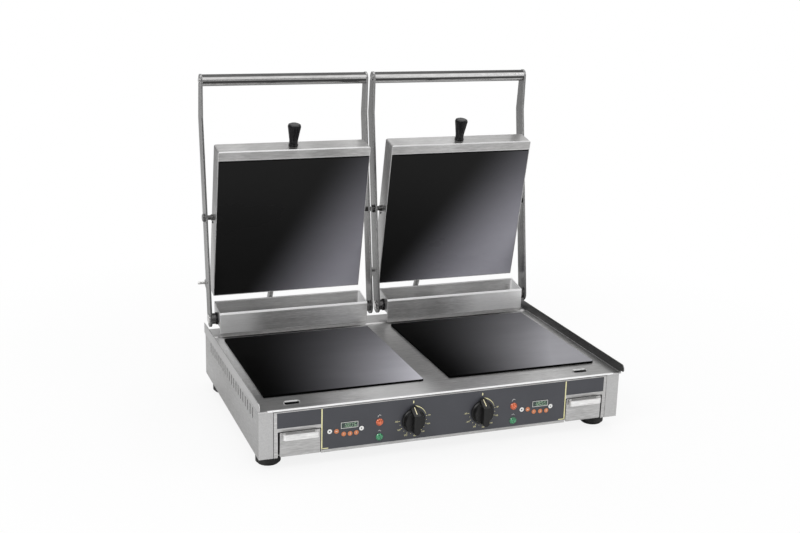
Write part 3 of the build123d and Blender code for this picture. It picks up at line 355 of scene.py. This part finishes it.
def housing_sheet(name, tone):
    # The spring housings: open troughs with painted reflections: soft pale upright bands painted
    # on the front, a painted highlight along the upper edge, the inside painted paler and its
    # right-hand end walls painted bright.
    paint = brushed(name, tone, "X", 0.32, edge=0.0016, sway=0.2, metal=0.75)
    x, y, z = paint.axes()
    # Painted pale reflection bands on the front, and the inside painted paler.
    inside = paint.times(paint.above(y, 0.1318), paint.above(z, low + 0.1050))
    bands = paint.most(
        paint.fall(x, -0.300, -0.235),
        paint.times(paint.hump(x, -0.140, -0.085, -0.060, -0.010), 0.35),
        paint.smooth(x, 0.165, 0.250),
    )
    paint.tint(paint.times(paint.less(1.0, inside), bands, 0.62), 0.92, 0.5)
    paint.tint(paint.times(inside, 0.28), 0.92, 0.8)
    # Painted highlight on the right-hand end walls inside.
    ends = paint.most(paint.within(x, -0.0275, -0.0237), paint.within(x, 0.3421, 0.3459))
    paint.tint(paint.times(ends, inside, 0.95), 1.0, 0.05)
    # Painted highlight along the upper front edge.
    edge = paint.times(paint.below(y, 0.1330), paint.above(z, low + 0.1440))
    paint.tint(edge, 1.0, 0.05)
    return paint


def cover_sheet(name, tone):
    # The upper plates' covers: painted highlights, thin bright lines painted along the fold over
    # the glass and along the lip's lower edge. Both are found by how far a point lies behind the
    # lip's face and down along it from the fold.
    paint = brushed(name, tone, "X", 0.30, edge=0.0026, sway=0.2)
    axes = paint.axes()
    y = paint.less(axes[1], plate_fold[0])
    z = paint.less(axes[2], plate_fold[1])
    ahead, aside = math.cos(plate_lean), math.sin(plate_lean)
    behind = paint.add(paint.times(y, ahead), paint.times(z, aside))
    down = paint.less(paint.times(y, aside), paint.times(z, ahead))
    # Painted highlight along the fold, brighter on the left cover.
    fold = paint.below(paint.add(behind, down), 0.0020)
    strength = paint.span(axes[0], -0.10, 0.10, 0.95, 0.60)
    paint.tint(paint.times(fold, strength), 1.0, 0.1)
    # A fainter painted highlight along the lip's lower edge.
    lip = paint.times(paint.below(behind, 0.0005), paint.within(down, 0.0178, 0.0204))
    paint.tint(paint.times(lip, 0.35), 1.0, 0.5)
    return paint


def arm_sheet(name, tone):
    # The arms: edges painted pale as wear and as painted highlights, and a painted reflection of
    # the housings that darkens them towards the hinge.
    paint = brushed(name, tone, "Z", 0.26, turn=-0.15, edge=0.0015, sway=0.05)
    x, y, z = paint.axes()
    # Painted reflection: darker towards the hinge.
    paint.tint(paint.times(paint.fall(z, low + 0.130, low + 0.270), 0.6), 0.03)
    return paint


def tube_steel(name, tone):
    # Polished tube with painted reflections: soft dark bands painted along its top, just under
    # its middle and below.
    paint = brushed(name, tone, "X", 0.16, sway=0.05)
    x, y, z = paint.axes()
    # Painted reflection bands, placed by height about the bar's middle.
    height = paint.less(z, bar_z)
    top = paint.smooth(height, 0.0062, 0.0084)
    under = paint.hump(height, -0.0075, -0.0038, -0.0012, 0.0004)
    base = paint.fall(height, -0.0108, -0.0080)
    paint.tint(paint.times(paint.most(top, under, base), 0.95), 0.015)
    return paint


def side_sheet(name, tone):
    # The side panels: front posts painted paler as painted light, and painted shade on the walls
    # inside the vent slots.
    paint = brushed(name, tone, "Y", 0.36, sway=0.05)
    x, y, z = paint.axes()
    # Painted shade on the walls inside the vent slots.
    inner = paint.below(paint.math("ABSOLUTE", x), 0.3646)
    paint.tint(paint.times(inner, paint.above(y, front + 0.012)), 0.03)
    # Front posts painted paler as painted light.
    post = paint.below(y, front + 0.0006)
    paint.tint(paint.times(post, 0.3), 0.85, 0.7)
    return paint


# Glass, plastic, ink and lenses


def black_glass(name, tone, rough, start, size, painted_sheen, shine=0.10, bend=1.5):
    # Black ceramic glass: wiped smears, a little dust, a ground edge, and a painted reflection:
    # a soft purple-grey sheen painted towards one corner. An upright glass is painted black at
    # the top as painted shade of the cover. The start and size are the glass's own, in x and in y
    # or z.
    paint = Paint(name)
    smear = paint.noise(paint.stretched((5, 16, 9), (0.3, 0.1, 0.5)), 1.0, 4.0, 0.6)
    dust = paint.noise(paint.spot, 900.0, 2.0, 0.5)
    x, y, z = paint.axes()
    # Where the painted reflection lies, by place on the glass.
    across = paint.span(x, start[0], start[0] + size[0], 0.0, 1.0)
    if painted_sheen["kind"] == "upright":
        along = paint.span(z, start[1], start[1] + size[1], 0.0, 1.0)
        lean = paint.less(across, paint.times(along, painted_sheen["slope"]))
        share = paint.smooth(lean, painted_sheen["middle"] - 0.42, painted_sheen["middle"] + 0.42)
        share = paint.times(share, paint.span(along, 0.0, 1.0, 1.0, 0.42))
        # Painted shade of the cover across the top of an upright glass.
        shadow = paint.above(along, 0.990)
    else:
        along = paint.span(y, start[1], start[1] + size[1], 1.0, 0.48)
        rise = paint.math("POWER", across, painted_sheen["power"])
        share = paint.math("MINIMUM", paint.times(along, along, rise), painted_sheen["most"])
        share = paint.times(share, paint.above(z, lower_glass_top))
        shadow = 0.0
    share = paint.times(share, paint.span(smear, 0.3, 0.7, 0.94, 1.06))
    colour = paint.mix(share, grey(tone), painted_sheen["colour"])
    colour = paint.mix(paint.span(dust, 0.68, 0.8, 0.0, 0.06), colour, grey(0.10))
    colour = paint.mix(shadow, colour, grey(0.0))
    rounded = paint.soft_edge(0.0008)
    colour = paint.mix(paint.edge_share(rounded), colour, grey(0.003))
    roughness = paint.span(smear, 0.3, 0.72, rough * 0.85, rough * 1.2)
    paint.set(Base_Color=colour, Roughness=roughness)
    paint.set(IOR=bend, Specular_IOR_Level=shine)
    paint.set(Normal=paint.bump(smear, 0.03, 0.0002, rounded))
    return paint


def moulded(name, colour, rough, grain=1400.0, depth=0.00006, edge=0.0005, shine=0.5):
    # Moulded plastic or rubber: fine grain, cloudy wear, and softened edges painted paler as wear
    # and as painted highlights.
    paint = Paint(name)
    fine = paint.noise(paint.spot, grain, 2.0, 0.6)
    cloud = paint.noise(paint.spot, 60.0, 3.0, 0.55)
    rounded = paint.soft_edge(edge)
    # Edges painted paler, as wear and as painted highlights.
    worn_and_highlit = paint.times(paint.edge_share(rounded), 0.35)
    paler = solid(min(1, part * 1.5 + 0.012) for part in colour)
    palest = solid(min(1, part * 2 + 0.03) for part in colour)
    shade = paint.mix(paint.span(cloud, 0.35, 0.7, 0.0, 0.5), solid(colour), paler)
    shade = paint.mix(worn_and_highlit, shade, palest)
    roughness = paint.span(cloud, 0.3, 0.7, rough * 0.85, rough * 1.2)
    paint.set(Base_Color=shade, Roughness=roughness, Specular_IOR_Level=shine)
    paint.set(Normal=paint.bump(fine, 0.35, depth, rounded))
    return paint


def printed(name, colour, rough=0.4):
    # Ink on the film: slightly uneven, with thin spots.
    paint = Paint(name)
    cloud = paint.noise(paint.spot, 500.0, 2.0, 0.6)
    thin = paint.span(cloud, 0.35, 0.7, 0.0, 0.5)
    darker = solid(part * 0.72 for part in colour)
    paint.set(Base_Color=paint.mix(thin, solid(colour), darker))
    paint.set(Roughness=paint.span(cloud, 0.3, 0.7, rough * 0.8, rough * 1.25))
    return paint


def glowing(name, colour, glow):
    # A lit lens: bright in the middle of each facet of its inside.
    paint = Paint(name)
    facet = paint.tree.nodes.new("ShaderNodeTexVoronoi")
    paint.tree.links.new(paint.spot, facet.inputs["Vector"])
    facet.inputs["Scale"].default_value = 420
    share = paint.span(facet.outputs["Distance"], 0.1, 0.75, 0.0, 1.0)
    deep = solid(part * 0.4 for part in colour)
    pale = solid(min(1, part * 1.15 + 0.05) for part in colour)
    shade = paint.mix(share, pale, deep)
    paint.set(Base_Color=shade, Emission_Color=shade, Emission_Strength=glow)
    paint.set(Roughness=paint.span(share, 0.0, 1.0, 0.10, 0.25), Coat_Weight=1.0)
    return paint


def knob_plastic(name):
    # Black plastic, with the pale pointer line that is filled into the bar's upper slope, and
    # edges painted paler as wear and as painted highlights.
    paint = Paint(name)
    fine = paint.noise(paint.spot, 1500.0, 2.0, 0.6)
    cloud = paint.noise(paint.spot, 70.0, 3.0, 0.55)
    x, y, z = paint.axes()
    aside = paint.math("ABSOLUTE", paint.less(paint.math("ABSOLUTE", x), knob_x))
    line = paint.times(paint.below(aside, 0.0008), paint.below(y, front - 0.0052))
    mark = paint.times(line, paint.within(z, low + 0.0618, low + 0.0704))
    rounded = paint.soft_edge(0.0007)
    # Edges painted paler, as wear and as painted highlights.
    worn_and_highlit = paint.times(paint.edge_share(rounded), 0.3)
    shade = paint.mix(paint.span(cloud, 0.35, 0.7, 0.0, 0.6), grey(0.006), grey(0.012))
    shade = paint.mix(worn_and_highlit, shade, grey(0.04))
    shade = paint.mix(mark, shade, (0.95, 0.88, 0.62, 1))
    paint.set(Base_Color=shade, Roughness=paint.span(cloud, 0.3, 0.7, 0.3, 0.45))
    paint.set(Normal=paint.bump(fine, 0.3, 0.00005, rounded), Specular_IOR_Level=0.35)
    return paint


def film_paint(name):
    # Matt printed film, dark blue-grey, over the steel front.
    paint = Paint(name)
    fine = paint.noise(paint.spot, 1800.0, 2.0, 0.6)
    cloud = paint.noise(paint.spot, 9.0, 3.0, 0.5)
    share = paint.span(cloud, 0.3, 0.7, 0.0, 1.0)
    shade = paint.mix(share, (0.047, 0.049, 0.058, 1), (0.063, 0.065, 0.076, 1))
    paint.set(Base_Color=shade, Roughness=paint.span(cloud, 0.3, 0.7, 0.38, 0.5))
    paint.set(Normal=paint.bump(fine, 0.25, 0.00004, paint.soft_edge(0.0004)))
    return paint


# The materials, and the nodes that take each of them

front_steel = brushed("front_steel", 0.60, "XY", 0.34, "Z", edge=0.0012)
# Its low tone is painted shade: a darker copy of the same steel.
side_steel = side_sheet("side_steel", 0.42)
tray_steel = tray_sheet("tray_steel", 0.72)
cover_steel = cover_sheet("cover_steel", 0.56)
housing_steel = housing_sheet("housing_steel", 0.62)
# Its low tone is painted shade: a darker copy of the same steel.
arm_steel = arm_sheet("arm_steel", 0.27)
satin_steel = brushed("satin_steel", 0.56, "X", 0.40, sway=0.05)
pull_steel = brushed("pull_steel", 0.92, "X", 0.34, sway=0.05, metal=0.7)
bar_steel = tube_steel("bar_steel", 0.70)
turned_steel = brushed("turned_steel", 0.66, "YZ", 0.12, sway=0.05)
dark_pins = brushed("dark_pins", 0.13, "YZ", 0.2, sway=0.05)
zinc = brushed("zinc", 0.52, "XY", 0.45)
ribbon_metal = brushed("ribbon_metal", 0.34, "X", 0.5)
conduit_metal = brushed("conduit_metal", 0.40, "X", 0.3, sway=0.03)
spring_metal = brushed("spring_metal", 0.30, "YZ", 0.3)

lower_size = (0.314, 0.336)
upper_size = (0.318, 0.2983)
# Painted reflections on the glasses: the colour of each sheen and where it lies.
painted_reflection_purple = (0.40, 0.395, 0.445, 1)
lower_left = {"kind": "flat", "power": 2.4, "most": 1.0, "colour": (0.52, 0.515, 0.56, 1)}
lower_right = {"kind": "flat", "power": 2.1, "most": 0.5, "colour": (0.66, 0.655, 0.70, 1)}
upper_left = {"kind": "upright", "middle": 0.60, "slope": 0.54, "colour": painted_reflection_purple}
upper_right = {"kind": "upright", "middle": 0.38, "slope": 0.67, "colour": painted_reflection_purple}
glass = {
    "lower_glass_left": black_glass(
        "glass_1", 0.002, 0.34, (-0.3404, lower_glass_y), lower_size, lower_left, 0.04, 1.12
    ),
    "lower_glass_right": black_glass(
        "glass_2", 0.002, 0.34, (0.0264, lower_glass_y), lower_size, lower_right, 0.04, 1.12
    ),
    "upper_glass_left": black_glass(
        "glass_3", 0.010, 0.30, (-0.3438, upper_glass_low), upper_size, upper_left
    ),
    "upper_glass_right": black_glass(
        "glass_4", 0.010, 0.30, (0.0258, upper_glass_low), upper_size, upper_right
    ),
}

black_plastic = moulded("black_plastic", (0.006, 0.006, 0.007), 0.14, edge=0.0009, shine=0.2)
dark_plastic = moulded("dark_plastic", (0.02, 0.02, 0.022), 0.42)
pale_plastic = moulded("pale_plastic", (0.62, 0.6, 0.55), 0.45)
rubber = moulded("rubber", (0.014, 0.014, 0.014), 0.62, 900.0, 0.0001)
seal = moulded("seal", (0.02, 0.02, 0.02), 0.7, 1200.0, 0.0001)
board = moulded("board", (0.55, 0.52, 0.46), 0.85, 500.0, 0.0003, shine=0.2)
screen = moulded("screen", (0.03, 0.05, 0.045), 0.2)
knob_black = knob_plastic("knob_black")
panel_film = film_paint("panel_film")
orange_lens = glowing("orange_lens", (0.78, 0.12, 0.012), 0.12)
green_lens = glowing("green_lens", (0.012, 0.30, 0.11), 0.08)
digit_green = glowing("digit_green", (0.42, 0.66, 0.40), 0.3)
gold_ink = printed("gold_ink", (0.95, 0.90, 0.50))
white_ink = printed("white_ink", (0.90, 0.90, 0.88))
orange_ink = printed("orange_ink", (0.66, 0.22, 0.085))
sign_ink = printed("sign_ink", (0.035, 0.036, 0.042))
silver_ink = printed("silver_ink", (0.72, 0.72, 0.70), 0.35)

finishes = {
    front_steel: "front_fascia rear_panel",
    side_steel: "side_panel_left side_panel_right",
    tray_steel: "worktop_tray",
    housing_steel: "spring_housing_left spring_housing_right housing_pedestals",
    cover_steel: "cover_left cover_right",
    arm_steel: "arm_outer_left arm_inner_left arm_outer_right arm_inner_right",
    satin_steel: "drawer_left drawer_right",
    pull_steel: "drawer_handle_left drawer_handle_right",
    dark_pins: "pivot_pins_left pivot_pins_right",
    bar_steel: "handle_bar_left handle_bar_right",
    turned_steel: "axle_left axle_right arm_fasteners_left arm_fasteners_right "
    "knob_shaft_left knob_shaft_right foot_screws conduit_glands",
    zinc: "base_pan heater_pans drawer_guides thermostats",
    ribbon_metal: "heater_elements",
    spring_metal: "torsion_springs",
    black_plastic: "grip_left grip_right cover_gland_left cover_gland_right hinge_bushes",
    knob_black: "knob_left knob_right",
    dark_plastic: "cord_gland timer_modules",
    pale_plastic: "terminal_block",
    rubber: "feet",
    seal: "glass_seals",
    board: "upper_heater_left upper_heater_right",
    panel_film: "control_overlay",
    orange_lens: "pilot_lamps_orange",
    green_lens: "pilot_lamps_green",
    conduit_metal: "conduit_left conduit_right",
}
for name, paint in glass.items():
    finishes[paint] = name
for paint, names in finishes.items():
    for name in names.split():
        for place in nodes[name].material_slots:
            place.material = paint.material


# Tools for the pieces that the scene adds


def piece(name, mesh, paint, body, smooth=False):
    thing = bpy.data.objects.new(name, mesh)
    bpy.context.collection.objects.link(thing)
    mesh.materials.append(paint.material)
    if smooth:
        for face in mesh.polygons:
            face.use_smooth = True
    if body:
        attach(thing, body)
    return thing


class Print:
    # Flat shapes on the front, drawn as outlines in x and z, a thin layer off their face.
    def __init__(self, name, paint, face=film, layer=0.00008):
        self.name = name
        self.paint = paint
        self.level = face - layer
        self.form = bmesh.new()

    def shape(self, outline):
        self.form.faces.new([self.form.verts.new((x, self.level, z)) for x, z in outline])

    def box(self, x0, x1, z0, z1):
        self.shape(((x0, z0), (x1, z0), (x1, z1), (x0, z1)))

    def line(self, start, end, wide):
        run = Vector((end[0] - start[0], end[1] - start[1])).normalized() * wide / 2
        over = (-run.y, run.x)
        self.shape(
            (
                (start[0] - over[0], start[1] - over[1]),
                (end[0] - over[0], end[1] - over[1]),
                (end[0] + over[0], end[1] + over[1]),
                (start[0] + over[0], start[1] + over[1]),
            )
        )

    def arc(self, x, z, inner, outer, grow, start, end, steps):
        # A curved strip whose outer radius changes from outer to grow along the way.
        inside, outside = [], []
        for step in range(steps + 1):
            angle = math.radians(start + (end - start) * step / steps)
            far = outer + (grow - outer) * step / steps
            inside.append((x + inner * math.cos(angle), z + inner * math.sin(angle)))
            outside.append((x + far * math.cos(angle), z + far * math.sin(angle)))
        for place in range(steps):
            self.shape((inside[place], inside[place + 1], outside[place + 1], outside[place]))

    def disc(self, x, z, radius):
        turns = [2 * math.pi * step / 32 for step in range(32)]
        self.shape([(x + radius * math.cos(turn), z + radius * math.sin(turn)) for turn in turns])

    def number(self, text, x, z, size):
        words = bpy.data.curves.new("number", "FONT")
        words.body = text
        words.size = size
        words.align_x = "CENTER"
        words.align_y = "CENTER"
        words.resolution_u = 3
        holder = bpy.data.objects.new("number", words)
        bpy.context.collection.objects.link(holder)
        bpy.context.view_layer.update()
        flat = bpy.data.meshes.new_from_object(holder)
        upright = Matrix.Rotation(math.pi / 2, 4, "X")
        flat.transform(Matrix.Translation((x, self.level, z)) @ upright)
        self.form.from_mesh(flat)
        bpy.data.objects.remove(holder)
        bpy.data.meshes.remove(flat)

    def finish(self, slot_name="panel_film"):
        mesh = bpy.data.meshes.new(self.name)
        bmesh.ops.recalc_face_normals(self.form, faces=self.form.faces)
        for face in self.form.faces:
            if face.normal.y > 0:
                face.normal_flip()
        self.form.to_mesh(mesh)
        self.form.free()
        piece(self.name, mesh, self.paint, "chassis")


# The print on the film: corner lines, the dials with their marks, and lamp signs


dial_first, dial_step = 12, 32  # degrees of the first number and between two of them
dial_numbers = ("60", "100", "140", "180", "220", "260", "300")
gold = Print("print_gold", gold_ink)
white = Print("print_white", white_ink)
for side in (-1, 1):
    edge, foot = side * 0.2475, side * 0.2350
    gold.box(edge - 0.0011, edge + 0.0011, low + 0.0068, low + 0.0855)
    gold.box(min(edge, foot), max(edge, foot), low + 0.0068, low + 0.0085)
    x, z = side * knob_x, knob_z
    gold.box(x - 0.0010, x + 0.0010, z + 0.0335, z + 0.0385)
    gold.arc(x, z, 0.0268, 0.0272, 0.0292, 20, 82, 20)
    for count in range(2 * len(dial_numbers) - 1):
        angle = math.radians(dial_first - dial_step / 2 * count)
        reach = 0.0285 if count % 2 == 0 else 0.0275
        gold.line(
            (x + 0.0262 * math.cos(angle), z + 0.0262 * math.sin(angle)),
            (x + reach * math.cos(angle), z + reach * math.sin(angle)),
            0.0009,
        )
    for count, text in enumerate(dial_numbers):
        angle = math.radians(dial_first - dial_step * count)
        gold.number(text, x + 0.0330 * math.cos(angle), z + 0.0318 * math.sin(angle), 0.0042)
    lamp = side * 0.1365
    white.arc(lamp, low + 0.0585, 0.0022, 0.0029, 0.0029, 20, 160, 12)
    white.line((lamp - 0.0024, low + 0.0595), (lamp - 0.0036, low + 0.0570), 0.0006)
    white.line((lamp - 0.0030, low + 0.0290), (lamp, low + 0.0310), 0.0006)
    white.line((lamp, low + 0.0310), (lamp + 0.0030, low + 0.0285), 0.0006)
gold.finish()
white.finish()


# Touch keys: a coloured disc and a sign on each raised spot


sign_layer = 0.00014
white_keys = Print("keys_white", white_ink, key_top)
orange_keys = Print("keys_orange", orange_ink, key_top)
dark_signs = Print("signs_dark", sign_ink, key_top, sign_layer)
pale_signs = Print("signs_pale", white_ink, key_top, sign_layer)
keys = (
    (-0.2328, 0.0398, "stop"),
    (-0.2197, 0.0388, "minus"),
    (-0.2058, 0.0319, "1"),
    (-0.1937, 0.0316, "2"),
    (-0.1816, 0.0319, "3"),
    (-0.1716, 0.0392, "play"),
    (0.1540, 0.0381, "stop"),
    (0.1668, 0.0372, "minus"),
    (0.1803, 0.0309, "1"),
    (0.1939, 0.0305, "2"),
    (0.2069, 0.0303, "3"),
    (0.2157, 0.0382, "play"),
)
for x, high, sign in keys:
    z = low + high
    pale = sign in ("stop", "play")
    under = white_keys if pale else orange_keys
    under.disc(x, z, 0.0045)
    ink = dark_signs if pale else pale_signs
    if sign == "stop":
        ink.box(x - 0.0013, x + 0.0013, z - 0.0013, z + 0.0013)
    elif sign == "play":
        ink.shape(((x - 0.0012, z - 0.0016), (x + 0.0018, z), (x - 0.0012, z + 0.0016)))
    elif sign == "minus":
        ink.box(x - 0.0018, x + 0.0018, z - 0.0005, z + 0.0005)
    else:
        ink.number(sign, x, z, 0.0052)
for layer in (white_keys, orange_keys, dark_signs, pale_signs):
    layer.finish()


# Displays: a pale rim, the dark screen and four lit digits


screen_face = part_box("timer_modules")[0][1]
rim = Print("display_rims", silver_ink, screen_face)
dark = Print("display_screens", screen, screen_face, 0.00004)
lit = Print("display_digits", digit_green, screen_face)
bars = {"0": "abcdef", "1": "bc", "5": "afgcd", "8": "abcdefg"}


def draw_digit(ink, text, x, z):
    # Seven bars, named from a at the top round to f, with g in the middle, that lean.
    wide, tall, thick, lean, gap = 0.0022, 0.0034, 0.0007, 0.14, 0.0004
    runs = {
        "a": ((-wide, tall), (wide, tall)),
        "b": ((wide, tall), (wide, 0)),
        "c": ((wide, 0), (wide, -tall)),
        "d": ((-wide, -tall), (wide, -tall)),
        "e": ((-wide, 0), (-wide, -tall)),
        "f": ((-wide, tall), (-wide, 0)),
        "g": ((-wide, 0), (wide, 0)),
    }
    for letter in bars[text]:
        (x0, z0), (x1, z1) = runs[letter]
        start = Vector((x + x0 + z0 * lean, z + z0))
        end = Vector((x + x1 + z1 * lean, z + z1))
        short = (end - start).normalized() * gap
        ink.line(start + short, end - short, thick)


half, tall, wall = 0.0166, 0.0060, 0.0010
for x, high in ((-0.1949, 0.04875), (0.1929, 0.0464)):
    z = low + high
    rim.box(x - half, x + half, z + tall - wall, z + tall)
    rim.box(x - half, x + half, z - tall, z - tall + wall)
    rim.box(x - half, x - half + wall, z - tall + wall, z + tall - wall)
    rim.box(x + half - wall, x + half, z - tall + wall, z + tall - wall)
    dark.box(x - half + wall, x + half - wall, z - tall + wall, z + tall - wall)
    for place, text in zip((-0.0105, -0.0035, 0.0035, 0.0105), "1805"):
        draw_digit(lit, text, x + place, z)
        lit.box(x + place + 0.0030, x + place + 0.0037, z - 0.0042, z - 0.0034)
rim.finish(slot_name="display")
dark.finish(slot_name="display")
lit.finish(slot_name="display")


# Low strips that close the gap between the housings and the shelf they stand on


def make_skirt(name, start, end):
    thick, tall = 0.0012, 0.0078
    form = bmesh.new()
    bmesh.ops.create_cube(form, size=1.0)
    spot = Vector(((start + end) / 2, 0.1320, low + 0.0962 + tall / 2))
    shape = Matrix.Diagonal((end - start, thick, tall, 1))
    bmesh.ops.transform(form, matrix=Matrix.Translation(spot) @ shape, verts=form.verts)
    mesh = bpy.data.meshes.new(name)
    form.to_mesh(mesh)
    form.free()
    piece(name, mesh, satin_steel, "chassis")


make_skirt("skirt_left", -0.3452, -0.0244)
make_skirt("skirt_right", 0.0244, 0.3452)


# Armoured conduits: a wound metal tube that follows the route as one smooth curve. It has
# two pieces, so that each of them crosses one joint only.


def curve_points(x):
    line = bpy.data.curves.new("route", "CURVE")
    line.dimensions = "3D"
    line.resolution_u = 48
    spline = line.splines.new("NURBS")
    spline.points.add(len(conduit_route) - 1)
    for spot, (y, z) in zip(spline.points, conduit_route):
        spot.co = (x, y, z, 1)
    spline.order_u = 3
    spline.use_endpoint_u = True
    holder = bpy.data.objects.new("route", line)
    bpy.context.collection.objects.link(holder)
    bpy.context.view_layer.update()
    mesh = bpy.data.meshes.new_from_object(holder)
    points = [vertex.co.copy() for vertex in mesh.vertices]
    bpy.data.objects.remove(holder)
    bpy.data.meshes.remove(mesh)
    return points


def even_points(points, step):
    # The same line with its points at equal distances, and that distance.
    run = [0.0]
    for first, second in zip(points, points[1:]):
        run.append(run[-1] + (second - first).length)
    count = round(run[-1] / step)
    result, place = [], 0
    for number in range(count + 1):
        goal = run[-1] * number / count
        while place < len(run) - 2 and run[place + 1] < goal:
            place += 1
        share = (goal - run[place]) / (run[place + 1] - run[place])
        result.append(points[place].lerp(points[place + 1], min(1, max(0, share))))
    return result, run[-1] / count


def armour(name, points, start, step):
    # Rings round the line whose radius swells once every turn of the wound strip. The
    # first point is number start of the whole line, so the winding goes on unbroken.
    around, pitch, middle, swell = 24, 0.0042, 0.00575, 0.0005
    across = Vector((1, 0, 0))
    form = bmesh.new()
    rings = []
    for number, point in enumerate(points):
        before = points[max(0, number - 1)]
        after = points[min(len(points) - 1, number + 1)]
        over = (after - before).normalized().cross(across).normalized()
        distance = (start + number) * step
        ring = []
        for place in range(around):
            angle = 2 * math.pi * place / around
            phase = (distance / pitch - place / around) % 1.0
            radius = middle + swell * (1 - abs(2 * phase - 1) ** 3 * 2)
            outward = across * math.cos(angle) + over * math.sin(angle)
            ring.append(form.verts.new(point + outward * radius))
        rings.append(ring)
    for first, second in zip(rings, rings[1:]):
        for place in range(around):
            turn = (place + 1) % around
            form.faces.new((first[place], first[turn], second[turn], second[place]))
    bmesh.ops.recalc_face_normals(form, faces=form.faces)
    mesh = bpy.data.meshes.new(name)
    form.to_mesh(mesh)
    form.free()
    thing = piece(name, mesh, conduit_metal, None, smooth=True)
    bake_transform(thing)
    return thing


for x, name in conduits:
    points, step = even_points(curve_points(x), 0.0006)
    half = round(len(points) * 0.45)
    upper = armour(
        "conduit_upper_" + name,
        points[: half + 1],
        0,
        step,
    )
    lower = armour(
        "conduit_lower_" + name,
        points[half:],
        half,
        step,
    )
    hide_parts("conduit_" + name)
    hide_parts("conduit_" + name)


# Floor, background and lights


def make_floor():
    # A pale floor that takes the shadow and fades to plain white away from the grill.
    mesh = bpy.data.meshes.new("floor")
    reach = 8.0
    corners = [(-reach, -reach, 0), (reach, -reach, 0), (reach, reach, 0), (-reach, reach, 0)]
    mesh.from_pydata(corners, [], [(0, 1, 2, 3)])
    floor = bpy.data.objects.new("floor", mesh)
    bpy.context.collection.objects.link(floor)
    paint = Paint("floor")
    tree = paint.tree
    cloud = paint.noise(paint.spot, 2.0, 2.0)
    paint.set(Base_Color=paint.mix(cloud, grey(0.90), grey(0.93)), Roughness=0.7)
    paint.set(Specular_IOR_Level=0.1)
    plain = tree.nodes.new("ShaderNodeEmission")
    plain.inputs["Color"].default_value = (1, 1, 1, 1)
    seen = tree.nodes.new("ShaderNodeLightPath").outputs["Is Camera Ray"]
    x, y, z = paint.axes()
    far = paint.add(paint.math("POWER", x, 2.0), paint.math("POWER", y, 2.0))
    fade = paint.span(paint.math("SQRT", far), 0.55, 1.3, 0.85, 1.0)
    both = tree.nodes.new("ShaderNodeMixShader")
    tree.links.new(paint.times(seen, fade), both.inputs[0])
    tree.links.new(paint.shader.outputs[0], both.inputs[1])
    tree.links.new(plain.outputs[0], both.inputs[2])
    tree.links.new(both.outputs[0], paint.end.inputs["Surface"])
    mesh.materials.append(paint.material)


def make_world():
    # Plain white where it is seen or mirrored, and a softer light on everything else.
    world = bpy.data.worlds.new("studio")
    bpy.context.scene.world = world
    world.use_nodes = True
    tree = world.node_tree
    tree.nodes.clear()
    end = tree.nodes.new("ShaderNodeOutputWorld")
    both = tree.nodes.new("ShaderNodeMixShader")
    for place, strength in ((1, 0.62), (2, 1.0)):
        light = tree.nodes.new("ShaderNodeBackground")
        light.inputs["Color"].default_value = (1, 1, 1, 1)
        light.inputs["Strength"].default_value = strength
        tree.links.new(light.outputs[0], both.inputs[place])
    path = tree.nodes.new("ShaderNodeLightPath")
    seen = path.outputs["Is Camera Ray"]
    for kind in ("Is Glossy Ray", "Is Transmission Ray"):
        step = tree.nodes.new("ShaderNodeMath")
        step.operation = "MAXIMUM"
        tree.links.new(seen, step.inputs[0])
        tree.links.new(path.outputs[kind], step.inputs[1])
        seen = step.outputs[0]
    tree.links.new(seen, both.inputs[0])
    tree.links.new(both.outputs[0], end.inputs["Surface"])


def soft_light(name, place, aim, wide, tall, power):
    data = bpy.data.lights.new(name, "AREA")
    data.shape = "RECTANGLE"
    data.size = wide
    data.size_y = tall
    data.energy = power
    lamp = bpy.data.objects.new(name, data)
    turn = (Vector(aim) - Vector(place)).to_track_quat("-Z", "Y").to_matrix().to_4x4()
    lamp.matrix_world = Matrix.Translation(place) @ turn
    bpy.context.collection.objects.link(lamp)


def grey_card(name, start, end):
    # A curved wall that only polished surfaces see, as dark studio flags do. It runs
    # round the grill between two headings, in degrees from the back.
    lower, upper, distance, level = 0.35, 2.2, 5.0, 0.16
    form = bmesh.new()
    steps = round(abs(end - start) / 5)
    rims = []
    for height in (lower, upper):
        rim = []
        for step in range(steps + 1):
            angle = math.radians(start + (end - start) * step / steps)
            spot = (distance * math.sin(angle), distance * math.cos(angle), height)
            rim.append(form.verts.new(spot))
        rims.append(rim)
    for step in range(steps):
        form.faces.new((rims[0][step], rims[0][step + 1], rims[1][step + 1], rims[1][step]))
    mesh = bpy.data.meshes.new(name)
    form.to_mesh(mesh)
    form.free()
    card = bpy.data.objects.new(name, mesh)
    bpy.context.collection.objects.link(card)
    paint = Paint(name)
    glow = paint.tree.nodes.new("ShaderNodeEmission")
    glow.inputs["Color"].default_value = (level, level, level * 1.04, 1)
    paint.tree.links.new(glow.outputs[0], paint.end.inputs["Surface"])
    mesh.materials.append(paint.material)
    card.visible_camera = False
    card.visible_diffuse = False
    card.visible_transmission = False
    card.visible_shadow = False


make_floor()
make_world()
card_ends = ((-200, -138), (-126, -62), (-48, 38), (50, 112), (124, 148))
for count, (start, end) in enumerate(card_ends):
    grey_card("card_%d" % count, start, end)
soft_light("key", (-1.9, -1.7, 2.4), (0, 0, 0.25), 1.8, 1.4, 34)
soft_light("fill", (2.3, -1.5, 1.6), (0, 0, 0.25), 1.6, 1.4, 14)
soft_light("top", (0.2, 0.6, 2.8), (0, 0, 0.2), 2.0, 1.6, 14)
